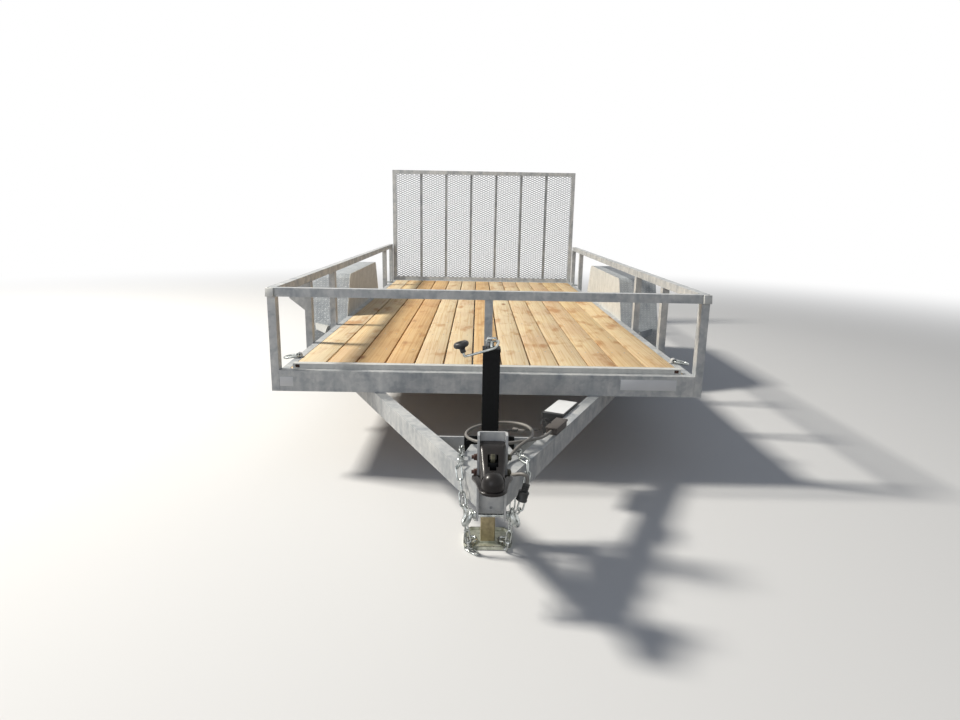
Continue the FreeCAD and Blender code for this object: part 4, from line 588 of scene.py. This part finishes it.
# Points of the chains' middle lines: out from the centreline, ahead of the frame, above the ground.
CHAIN_DROPS = {
    "right": [
        (51.8, 1087.9, 319.4), (51.8, 1046, 284), (74, 1018, 276), (104, 985, 292), (117, 950, 335),
        (124, 932, 378), (133, 905, 427), (108, 872, 427),
    ],
    "left": [
        (51.8, 1087.9, 319.4), (51.8, 1046, 284), (68, 1018, 276), (89, 1000, 292), (96, 985, 335),
        (103, 965, 378), (112, 942, 431), (104, 905, 430),
    ],
}
CHAIN_END = [
    (103, 775, 427), (103, 752, 418), (100, 745, 380), (92, 755, 250), (84, 772, 120), (77, 783, 62),
    (73, 777, 40), (70, 764, 13.4), (64, 718, 13.9),
]


def along(points, distance):
    """The point at a distance along straight runs."""
    for begin, end in zip(points, points[1:]):
        run = end - begin
        if distance <= run.length:
            return begin + run * (distance / run.length)
        distance -= run.length
    return points[-1].copy()


def stadium(half_long, half_wide, at_x=0.0):
    """The middle line of an oval link."""
    straight = half_long - half_wide
    points = []
    for turn in range(-75, 91, 30):
        angle = math.radians(turn)
        points.append((at_x + straight + half_wide * math.cos(angle), half_wide * math.sin(angle), 0))
    return points + [(2 * at_x - x, -y, 0) for x, y, z in points]


def safety_chains():
    """Oval welded links from the chain bolt over the beams to a slip hook on the jack's foot."""
    link = bar_mesh(stadium(21 + 8.05 - 3.4, 9.9), 3.4, closed=True, sides=8, smooth=False)
    hook_line = [(8, 0, 0), (18, 0, 0), (30, 4, 0), (40, 14, 0), (54, 17, 0), (66, 8, 0), (68, -6, 0),
                 (58, -17, 0), (44, -18, 0), (36, -12, 0)]
    hook = bar_mesh(hook_line, 5.6, sides=10)
    for side, way in SIDES:
        route = [ahead(*point) for point in CHAIN_DROPS[side] + CHAIN_END]
        length = sum((end - begin).length for begin, end in zip(route, route[1:]))
        count = 2 * int((length / 42 - 1) / 2) + 1
        step = length / count - 0.001
        mirror = Matrix.Diagonal((way, 1, 1, 1))
        bm = bmesh.new()
        for number in range(count):
            begin, end = along(route, number * step), along(route, (number + 1) * step)
            run = (end - begin).normalized()
            share = number / (count - 1)
            flat = Vector((1 - share, 0, share))
            flat = (flat - run * flat.dot(run)).normalized()
            normal = flat if number % 2 == 0 else run.cross(flat)
            across = normal.cross(run)
            matrix = Matrix((run, across, normal)).transposed().to_4x4()
            matrix.translation = (begin + end) / 2
            for shape in [link, hook] if number == count - 1 else [link]:
                copy = shape.copy()
                copy.transform(mirror @ matrix)
                bm.from_mesh(copy)
                bpy.data.meshes.remove(copy)
        if way < 0:
            loose = [(-62, 735, 5), (-84, 727, 5), (-90, 745, 5), (-76, 765, 5), (-56, 784, 5), (-42, 796, 5),
                     (-34, 786, 5), (-42, 770, 5), (-58, 752, 5)]
            swept(bm, [ahead(*point) for point in loose], 3.6, closed=True, sides=10)
        piece("chain_" + side, bm, BRIGHT_ZINC, "chassis", ["safety_chain_" + side])


def jack():
    """Zinc hood and crank with a black knob on top, and a dished foot with a folded rim below."""
    bm = bmesh.new()
    outline = [(-21, 0), (-21, 28), (-16, 38), (16, 38), (21, 28), (21, 0)]
    inside = [(17, 0), (17, 26.5), (13.5, 34), (-13.5, 34), (-17, 26.5), (-17, 0)]
    prism(bm, [ahead(across, 682, 780 + up) for across, up in outline + inside], (0, 24, 0), bevel=0.8)
    turned(bm, [(0, 0), (0, 9), (20, 9), (24, 6), (24, 0)], ahead(0, JACK_AHEAD, 780), (0, 0, 1), steps=24)
    rod(bm, ahead(-24, JACK_AHEAD, 804), ahead(24, JACK_AHEAD, 804), 4)
    lean = math.radians(16)
    rise = Vector((-math.sin(lean), 0, math.cos(lean)))
    bend = ahead(-99, 707.75, 753)
    crank = [bend + rise * 40, bend + rise * 10, bend + rise, bend + Vector((9, 0, 1.8)), ahead(0, 707.75, 781.5),
             ahead(14, 706, 787), ahead(23.5, 696, 800), ahead(24.5, 684, 805), ahead(24.5, 668, 805)]
    swept(bm, crank, 4.8, sides=12)
    piece("crank_and_hood", bm, BRIGHT_ZINC, "chassis", ["jack_crank"])
    bm = bmesh.new()
    knob = [(0, 0), (0, 9), (2, 10.5), (14, 10), (18, 13), (22, 24), (26, 28), (32, 29), (37, 27), (40.5, 23),
            (39.5, 18), (33, 13), (22, 9), (20, 0)]
    turned(bm, knob, bend + rise * 15, rise, steps=32)
    piece("crank_knob", bm, BLACK_PLASTIC, "chassis", ["jack_knob"])

    bm = bmesh.new()
    block(bm, ahead(-33.5, 703.5, 768), ahead(33.5, 636.5, 780), bevel=2)
    for way in (-1, 1):
        for height in (340, 392):
            hexagon(bm, ahead(way * 80, 616, height), (0, -1, 0), 19, 8)
    piece("jack_cap_and_bolts", bm, BLACK_PAINT, "chassis")

    bm = bmesh.new()
    side, end, corner = 94.0, 80.0, 28.0
    outline = [(side - corner, end), (side, end - corner), (side, corner - end), (side - corner, -end),
               (corner - side, -end), (-side, corner - end), (-side, end - corner), (corner - side, end)]
    rings = []
    for inset, up in ((0, 0.4), (0, 15), (3, 15), (6, 4.5)):
        scale_x, scale_y = (side - inset) / side, (end - inset) / end
        rings.append([bm.verts.new(ahead(across * scale_x, JACK_AHEAD + distance * scale_y, up))
                      for across, distance in outline])
    for near, far in zip(rings, rings[1:]):
        for at in range(8):
            bm.faces.new((near[at], near[(at + 1) % 8], far[(at + 1) % 8], far[at]))
    bm.faces.new(rings[0])
    bm.faces.new(rings[-1])
    ease(bm, [edge for edge in bm.edges if abs(edge.verts[0].co.z - edge.verts[1].co.z) > 5], 9, segments=3)
    half = 28.25
    foot, back = JACK_AHEAD + half, JACK_AHEAD - half
    swept(bm, [ahead(-half, foot, 7), ahead(half, foot, 7), ahead(half, back, 7), ahead(-half, back, 7)], 4,
          closed=True, sides=8, smooth=False)
    piece("dished_foot", bm, PALE_ZINC, "jack_leg", ["jack_leg"])
    bm = bmesh.new()
    block(bm, ahead(-half, foot, 4), ahead(half, back, corners_of("jack_leg")[1].z), bevel=4, segments=3)
    piece("drop_leg", bm, YELLOW_ZINC, "jack_leg")


def boxes_on_tongue():
    """Battery box with a ribbed lid under a blank white label, small cable box with its wires."""
    for name, low, high, wide, deep in (("battery_box", 322, 422, 88, 212), ("junction_box", 408, 440, 45, 130)):
        box_low, box_high = corners_of(name)
        middle = (box_low + box_high) / 2
        spin = Matrix.Translation((middle.x, middle.y, 0)) @ Matrix.Rotation(-TONGUE_ANGLE, 4, "Z")
        half, end, over = wide / 2, deep / 2, 3
        bm = bmesh.new()
        lid = low + (high - low) * 0.7
        block(bm, (-half, -end, low), (half, end, lid + 1), bevel=3, segments=3, turn=spin)
        block(bm, (-half - over, -end - over, lid), (half + over, end + over, high), bevel=3, segments=3,
              turn=spin)
        if name == "battery_box":
            for rib in range(-78, 79, 26):
                block(bm, (-half - 2.4, rib - 3, low + 6), (half + 2.4, rib + 3, lid), bevel=1, turn=spin)
        for corner_x in (-1, 1):
            for corner_y in (-1, 1):
                spot = spin @ Vector((corner_x * (half - 6), corner_y * (end - 6), high))
                turned(bm, [(-0.5, 0), (-0.5, 3.5), (0.4, 3.2), (0.4, 0)], spot, (0, 0, 1), steps=12)
        shell = BLACK_PLASTIC if name == "battery_box" else DUSTY_PLASTIC
        piece(name + "_shell", bm, shell, "chassis", [name])
        if name == "battery_box":
            bm = bmesh.new()
            block(bm, (-half + 1, -end + 14, high - 0.6), (half + 1, end - 2, high + 0.5), turn=spin)
            piece("blank_lid_label", bm, WHITE_FILM, "chassis")
    bm = bmesh.new()
    wires = [(2.6, [(246, 440, 402), (236, 470, 425), (222, 505, 452), (236, 520, 462), (250, 512, 440)]),
             (2.2, [(258, 430, 402), (230, 478, 436), (206, 520, 448), (212, 540, 440)]),
             (2.6, [(205, 560, 425), (160, 600, 440), (110, 640, 448), (60, 650, 452), (36, 640, 440)])]
    for radius, route in wires:
        swept(bm, [ahead(*point) for point in route], radius, sides=8)
    piece("lamp_wires", bm, BLACK_PLASTIC, "chassis")
    bm = bmesh.new()
    joint = Matrix.Translation(ahead(112, 634, 447)) @ Matrix.Rotation(math.radians(-24), 4, "Z")
    block(bm, (-24, -9, -6), (-3, 9, 7), bevel=1.5, turn=joint)
    block(bm, (-1, -7, -5), (24, 7, 5.5), bevel=1.5, turn=joint)
    piece("wire_connector", bm, CABLE_VINYL, "chassis")


def cable_plug():
    """A round plug with a ribbed sleeve and a wider collared head."""
    points = [ahead(*point) for point in CABLE_ROUTE[-2:]]
    down = (points[1] - points[0]).normalized()
    bm = bmesh.new()
    outline = [(0, 0), (0, 9)]
    for step in range(0, 24, 6):
        outline += [(2 + step, 11.5), (5 + step, 11.5), (6 + step, 9.5)]
    outline += [(26, 16), (30, 18), (34, 17), (50, 17), (52, 18.5), (58, 18.5), (60, 16), (60, 13), (52, 12),
                (52, 0)]
    turned(bm, outline, points[1], down, steps=28)
    return piece("lamp_plug", bm, BLACK_PLASTIC, "chassis", ["cable_plug"])


def tie_rings():
    """Round D rings that hang outward from bent straps welded on the side members."""
    lean = math.radians(10)
    bm_rings = bmesh.new()
    bm_clips = bmesh.new()
    line = [(0, -26, 0), (0, -10, 0), (0, 10, 0), (0, 26, 0), (2.6, 30.2, 0), (8, 32, 0), (46, 32, 0)]
    for turn in range(75, -76, -15):
        angle = math.radians(turn)
        line.append((46 + 32 * math.cos(angle), 32 * math.sin(angle), 0))
    line += [(46, -32, 0), (8, -32, 0), (2.6, -30.2, 0)]
    for way in (-1, 1):
        for station in (FRONT + 294, FRONT + LENGTH - 294):
            spot = Vector((way * 984, station, 521))
            flip = Matrix.Rotation(0 if way > 0 else math.pi, 4, "Z")
            matrix = Matrix.Translation(spot) @ flip @ Matrix.Rotation(lean, 4, "Y")
            swept(bm_rings, line, 6, matrix=matrix, closed=True, sides=12, smooth=False)
            strap = [(-22, 0), (-12, 0), (-11, 12), (-7, 20), (0, 22.6), (7, 20), (11, 12), (12, 0), (18, 0),
                     (18, 4), (15, 4), (14.5, 13), (9.5, 22.5), (0, 26.5), (-9.5, 22.5), (-14.5, 13), (-15, 4),
                     (-22, 4)]
            corners = [spot + Vector((way * across, -14, up - 11)) for across, up in strap]
            prism(bm_clips, corners, (0, 28, 0), bevel=0.5)
    piece("lashing_rings", bm_rings, BRIGHT_ZINC, "chassis", ["tie_rings"])
    piece("ring_straps", bm_clips, GALVANISED, "chassis", ["tie_clips"])


# Half section of a tyre: across from its middle, and radius.
TYRE = [(0, TYRE_RADIUS), (9, TYRE_RADIUS), (9.5, 336), (14.5, 336), (15, 342.8), (41, 342), (41.5, 335),
        (47, 335), (47.5, 341.5), (66, 339.5), (75, 337), (84, 331), (90, 322), (93, 318), (95, 309), (98, 292),
        (101, 272), (102.2, 262), (101, 248), (97.5, 232), (95.5, 226), (94, 224), (90, 214), (86, 206),
        (83, 202), (82, 197), (78, 190.5)]


def polar(face, centre):
    """How far out of a wheel's middle plane a face lies, its radius and its angle in degrees."""
    spot = face.calc_center_median() - centre
    return spot.x, math.hypot(spot.y, spot.z), math.degrees(math.atan2(spot.z, spot.y))


def wheels():
    """Tyres with ribs, grooves and shoulder cuts, on white rims with eight windows, five nuts and a hub cap."""
    section = [(-across, radius) for across, radius in reversed(TYRE)] + TYRE[1:]
    for row, station in zip(("front", "rear"), AXLES):
        for side, way in SIDES:
            body = f"wheel_{row}_{side}"
            centre = Vector((way * TYRE_OUT, station, TYRE_RADIUS))
            bm = bmesh.new()
            turned(bm, section + [(78, 188), (-78, 188)], centre, (1, 0, 0), steps=120, closed=True)
            bmesh.ops.recalc_face_normals(bm, faces=bm.faces)
            marks = []
            for face in bm.faces:
                across, radius, turn = polar(face, centre)
                if 55 < abs(across) < 90 and radius > 328 and int(turn % 360 / 3) % 3 == 0:
                    marks.append(face)
            bmesh.ops.inset_individual(bm, faces=marks, thickness=2.2, depth=-5.0)
            piece("tread_" + body, bm, RUBBER, body, [f"tyre_{row}_{side}"], sharp=30)
            rim(body, centre, way, f"rim_{row}_{side}")


def rim(body, centre, way, node):
    """One rim: rolled barrel, dished disc with eight windows, nuts and hub cap."""
    axis = (way, 0, 0)
    bm = bmesh.new()
    barrel = [(78, 196), (80, 200), (77, 202), (73, 197), (70, 187), (40, 184), (20, 172), (-30, 172), (-50, 184),
              (-70, 187), (-73, 197), (-77, 202), (-80, 200), (-78, 196), (-74, 184), (-52, 180), (-32, 168),
              (18, 168), (38, 180), (72, 183)]
    turned(bm, barrel, centre, axis, steps=56, closed=True)
    disc = [(14, 169), (22, 160), (27, 138), (27, 116), (24, 98), (20, 90), (20, 36)]
    first = len(bm.faces)
    turned(bm, disc, centre, axis, steps=64)
    bm.faces.ensure_lookup_table()
    gone = []
    for face in bm.faces[first:]:
        across, radius, turn = polar(face, centre)
        if 98 < radius < 138 and 11 < turn % 45 < 34:
            gone.append(face)
    bmesh.ops.delete(bm, geom=gone, context="FACES")
    bm.faces.ensure_lookup_table()
    left = bm.faces[first:]
    bmesh.ops.recalc_face_normals(bm, faces=left)
    verts = list({vert for face in left for vert in face.verts})
    bmesh.ops.solidify(bm, geom=left + edges_at(verts) + verts, thickness=4)
    piece("disc_" + body, bm, WHITE_PAINT, body, [node], sharp=32)
    bm = bmesh.new()
    for turn in range(0, 360, 72):
        angle = math.radians(turn)
        spot = centre + Vector((way * 20, 57 * math.cos(angle), 57 * math.sin(angle)))
        hexagon(bm, spot, axis, 20, 17, bevel=1.4)
    hub = [(18, 0), (18, 37), (22, 37), (26, 33), (52, 33), (53, 30), (56, 30), (58, 26), (58.5, 0)]
    turned(bm, hub, centre, axis, steps=36)
    drum = [(-52, 0), (-52, 112), (-48, 118), (10, 118), (14, 112), (14, 0)]
    turned(bm, drum, centre, axis, steps=40)
    piece("hub_" + body, bm, BRIGHT_ZINC, body, sharp=32)


def plates():
    """Blank white plates on the front crossmember, a long one to the right and a small one at its left end."""
    bm = bmesh.new()
    block(bm, (644, FRONT - 1.2, 439), (915, FRONT + 0.5, 492), bevel=0.5)
    block(bm, (-1000, FRONT - 1.0, 433), (-936, FRONT + 0.5, 480), bevel=0.4)
    piece("blank_plates", bm, WHITE_FILM, "chassis")


def weld(bm, points, size=3.2):
    """A fillet weld: a row of overlapping scales along straight runs."""
    for begin, end in zip(points, points[1:]):
        begin, end = Vector(begin), Vector(end)
        count = max(2, int((end - begin).length / 5))
        for number in range(count):
            spot = begin.lerp(end, (number + 0.5) / count)
            bmesh.ops.create_icosphere(bm, subdivisions=1, radius=size, matrix=Matrix.Translation(spot))


def caps_and_brackets():
    """Sloping caps on the side rails, dark blocks as painted shade in the slots of the bar over the boards' ends,
    and the fenders' brackets and skirts.
    """
    bm = bmesh.new()
    for side, way in SIDES:
        low, high = corners_of("side_rail_" + side)
        made = bmesh.ops.create_cube(bm, size=1, matrix=Matrix.Translation(
            ((low.x + high.x) / 2, low.y - 1, (low.z + high.z) / 2)) @ Matrix.Diagonal(
                (high.x - low.x - 1, 4, high.z - low.z - 1, 1)))
        for vert in made["verts"]:
            if vert.co.y < low.y - 1:
                inner = abs(vert.co.x) < (abs(low.x) + abs(high.x)) / 2
                vert.co.y -= 9 * inner + 9 * (vert.co.z < (low.z + high.z) / 2)
        ease(bm, edges_at(made["verts"]), 1.5)
    piece("rail_caps", bm, DUSTY_ZINC, "chassis")
    for side, way in SIDES:
        bm = bmesh.new()
        corners = [(way * across, FRONT + behind, up) for across, behind, up in (
            (1228, 1608, 464), (1130, 1556, 446), (1145, 1547, 400), (1220, 1589, 421))]
        for vert in prism(bm, corners, (0, 0, 0)):
            vert.co.y = FRONT + 1612.5
        # Both brackets are the same sheet; the right one gets the darker mesh zinc as painted shade.
        piece("fender_bracket_" + side, bm, DUSTY_ZINC if way < 0 else MESH_ZINC, "chassis")
    # Dark blocks in the retainer bar's slots: painted shade in the openings.
    bm = bmesh.new()
    for way in (-1, 1):
        block(bm, (way * 916, FRONT + 48.5, 515), (way * 936, FRONT + 56, 530), bevel=1)
    piece("retainer_slot_shade", bm, RUSTY_NUT, "chassis")
    bm = bmesh.new()
    for way in (-1, 1):
        for station, back in ((66.0, 1), (1614.0, -1)):
            block(bm, (way * 1022, station - 1.5, 312), (way * 1270, station + 1.5, 456), bevel=0.8)
            block(bm, (way * 1267, station, 312), (way * 1270, station + back * 26, 456), bevel=0.8)
    piece("fender_skirts", bm, TREAD_PLATE, "chassis")


def welds():
    """Weld beads where posts, rails, beams and brackets meet."""
    bm = bmesh.new()
    stations = [FRONT, FRONT + 650, FRONT + 1275, FRONT + LENGTH - 571, FRONT + LENGTH - 50]
    beam_tail = 491 - 600 * math.tan(TONGUE_ANGLE) - 1
    for way in (-1, 1):
        for station in stations:
            weld(bm, [(way * 1003, station, 866), (way * 1040, station, 866)], 2.4)
            for edge in (station, station + 50):
                weld(bm, [(way * 1003, edge, 414), (way * 1003, edge, 506)], 2.4)
        weld(bm, [(way * 519, FRONT - 1, 407), (way * 547, FRONT - 1, 407)], 3)
        weld(bm, [ahead(way * beam_tail, 599, 322), ahead(way * beam_tail, 599, 405)], 3)
        weld(bm, [ahead(way * 46, 1051, 322), ahead(way * 46, 1051, 406)], 3)
    for height in (511, 866):
        weld(bm, [(-19, FRONT - 0.5, height), (19, FRONT - 0.5, height)], 2.4)
    piece("weld_beads", bm, GALVANISED, "chassis", sharp=60)


def tail_lamps():
    """Two oblong lamps: black bezel around a ribbed red lens."""
    low, high = corners_of("tail_lamps")
    for part, material, slot in (("bezels", BLACK_PLASTIC, "black_plastic"), ("lenses", RED_LENS, "red_lens")):
        bm = bmesh.new()
        for way in (-1, 1):
            middle = way * 880
            if part == "bezels":
                block(bm, (middle - 76, low.y, low.z), (middle + 76, low.y + 6, high.z), bevel=2.5, segments=3)
            else:
                block(bm, (middle - 70, low.y + 5, low.z + 6), (middle + 70, high.y - 0.8, high.z - 6), bevel=3,
                      segments=3)
                for step in range(-6, 7):
                    block(bm, (middle + step * 10 - 1.5, high.y - 1.2, low.z + 9),
                          (middle + step * 10 + 1.5, high.y, high.z - 9), bevel=0.5, segments=1)
        piece("lamp_" + part, bm, material, "chassis", ["tail_lamps"] if part == "lenses" else ())


def springs():
    """U-bolts, plates and nuts that clamp the springs to the axles, and the bolts' heads on the hangers."""
    bm = bmesh.new()
    for station in AXLES:
        for way in (-1, 1):
            middle = way * SPRING_OUT
            block(bm, (middle - 30, station - 50, 284), (middle + 30, station + 50, 292), bevel=1.5)
            for end in (-40, 40):
                spot = middle + end * 0.55, station + end
                rod(bm, (*spot, 276), (*spot, 384), 5, sides=10)
            for across in (-22, 22):
                arch = ((-42, 270), (-42, 360), (-41, 378), (0, 386), (41, 378), (42, 360), (42, 270))
                swept(bm, [(middle + across, station + along, up) for along, up in arch], 5, sides=8)
                for end in (-42, 42):
                    hexagon(bm, (middle + across, station + end, 284), (0, 0, -1), 17, 9)
    piece("spring_clamps", bm, BLACK_PAINT, "chassis")
    bm = bmesh.new()
    for way in (-1, 1):
        for station in (AXLES[0] - 330, 840, AXLES[1] + 330):
            for face in (-1, 1):
                hexagon(bm, (way * SPRING_OUT + face * 26, station, 358), (face, 0, 0), 22, 8)
    piece("hanger_bolts", bm, BRIGHT_ZINC, "chassis")


deck_boards()
gate_mesh()
coupler()
coupler_bolts()
safety_chains()
jack()
boxes_on_tongue()
tie_rings()
wheels()
plates()
caps_and_brackets()
welds()
tail_lamps()
springs()


# Points of the cable's middle line: across, ahead of the frame, above the ground.
CABLE_ROUTE = [
    (247.76, 569.76, 424), (213.94, 640.04, 424), (160, 722, 442), (75, 790, 452), (-14, 795, 450),
    (-84, 735, 446), (-94, 650, 444), (-42, 575, 446), (53, 548, 452), (138, 590, 458), (166, 670, 460),
    (154, 750, 460), (112, 808, 456), (72, 850, 432), (50, 910, 422), (46, 980, 424), (66, 1034, 432),
    (98, 1060, 450), (118, 1078, 444), (112, 1080, 424),
]


def trailer_cable():
    """The grey cable from the small box, round the jack and over the plate to its plug."""
    data = bpy.data.curves.new("trailer_lead", "CURVE")
    data.dimensions = "3D"
    data.bevel_depth = 0.006
    data.bevel_resolution = 4
    data.resolution_u = 8
    data.use_fill_caps = True
    spline = data.splines.new("NURBS")
    spline.points.add(len(CABLE_ROUTE) - 1)
    for point, (across, distance, height) in zip(spline.points, CABLE_ROUTE):
        point.co = (across / 1000, (FRONT - distance) / 1000, height / 1000, 1)
    spline.use_endpoint_u = True
    spline.order_u = 3
    data.materials.append(CABLE_VINYL)
    lead = linked("trailer_lead", data)
    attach(lead, "chassis")
    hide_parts("trailer_cable")
    cable_plug()


trailer_cable()


def seen_share(tree, rays):
    """One for the rays of these kinds, zero for the others."""
    ray = add(tree, "LightPath")
    share = ray.outputs[rays[0]]
    for kind in rays[1:]:
        share = calc(tree, "MAXIMUM", share, ray.outputs[kind])
    return share


def make_stage():
    """A pale floor that turns white far away, and a white surround."""
    material, tree, place = start("pale_floor")
    seen = seen_share(tree, ["Is Camera Ray", "Is Glossy Ray"])
    pale = mixed(tree, seen, "8E8A86", "DADADA")
    shader = add(tree, "BsdfPrincipled", links={"Base Color": pale, "Roughness": 0.9})
    far = add(tree, "VectorMath", {"operation": "LENGTH"}, {0: place})
    fade = ranged(tree, far.outputs["Value"], 4.5, 11.0, 0.0, 1.0, "SMOOTHSTEP")
    white = add(tree, "Emission", links={"Color": "FFFFFF", "Strength": ranged(tree, seen, 0.0, 1.0, 0.2, 1.0)})
    blend = add(tree, "MixShader", links={0: fade, 1: shader, 2: white})
    add(tree, "OutputMaterial", links={"Surface": blend})
    bm = bmesh.new()
    bmesh.ops.create_circle(bm, cap_ends=True, segments=64, radius=60)
    mesh = bpy.data.meshes.new("floor")
    bm.to_mesh(mesh)
    bm.free()
    mesh.materials.append(material)
    linked("floor", mesh)

    world = bpy.data.worlds.new("surround")
    bpy.context.scene.world = world
    world.use_nodes = True
    tree = world.node_tree
    tree.nodes.clear()
    seen = seen_share(tree, ["Is Camera Ray", "Is Glossy Ray", "Is Transmission Ray"])
    light = add(tree, "Background", links={"Color": graded(tree, seen, [(0.0, "DEE9FB"), (1.0, "FFFFFF")]),
                                           "Strength": ranged(tree, seen, 0.0, 1.0, 0.21, 1.0)})
    add(tree, "OutputWorld", links={"Surface": light})

    lamps = [("key", (-8.6, 0.1, 8.8), 1.8, 2100.0, "FFFAF0"), ("fill", (-3.0, -9.0, 3.0), 5.0, 95.0, "F2F6FF")]
    for name, spot, size, power, tint in lamps:
        data = bpy.data.lights.new(name, "AREA")
        data.size = size
        data.energy = power
        data.color = linear(tint)[:3]
        lamp = linked(name, data)
        lamp.location = spot
        lamp.rotation_euler = (Vector((0, -0.5, 0.4)) - Vector(spot)).to_track_quat("-Z", "Y").to_euler()
    bpy.context.scene.view_settings.view_transform = "Standard"


make_stage()
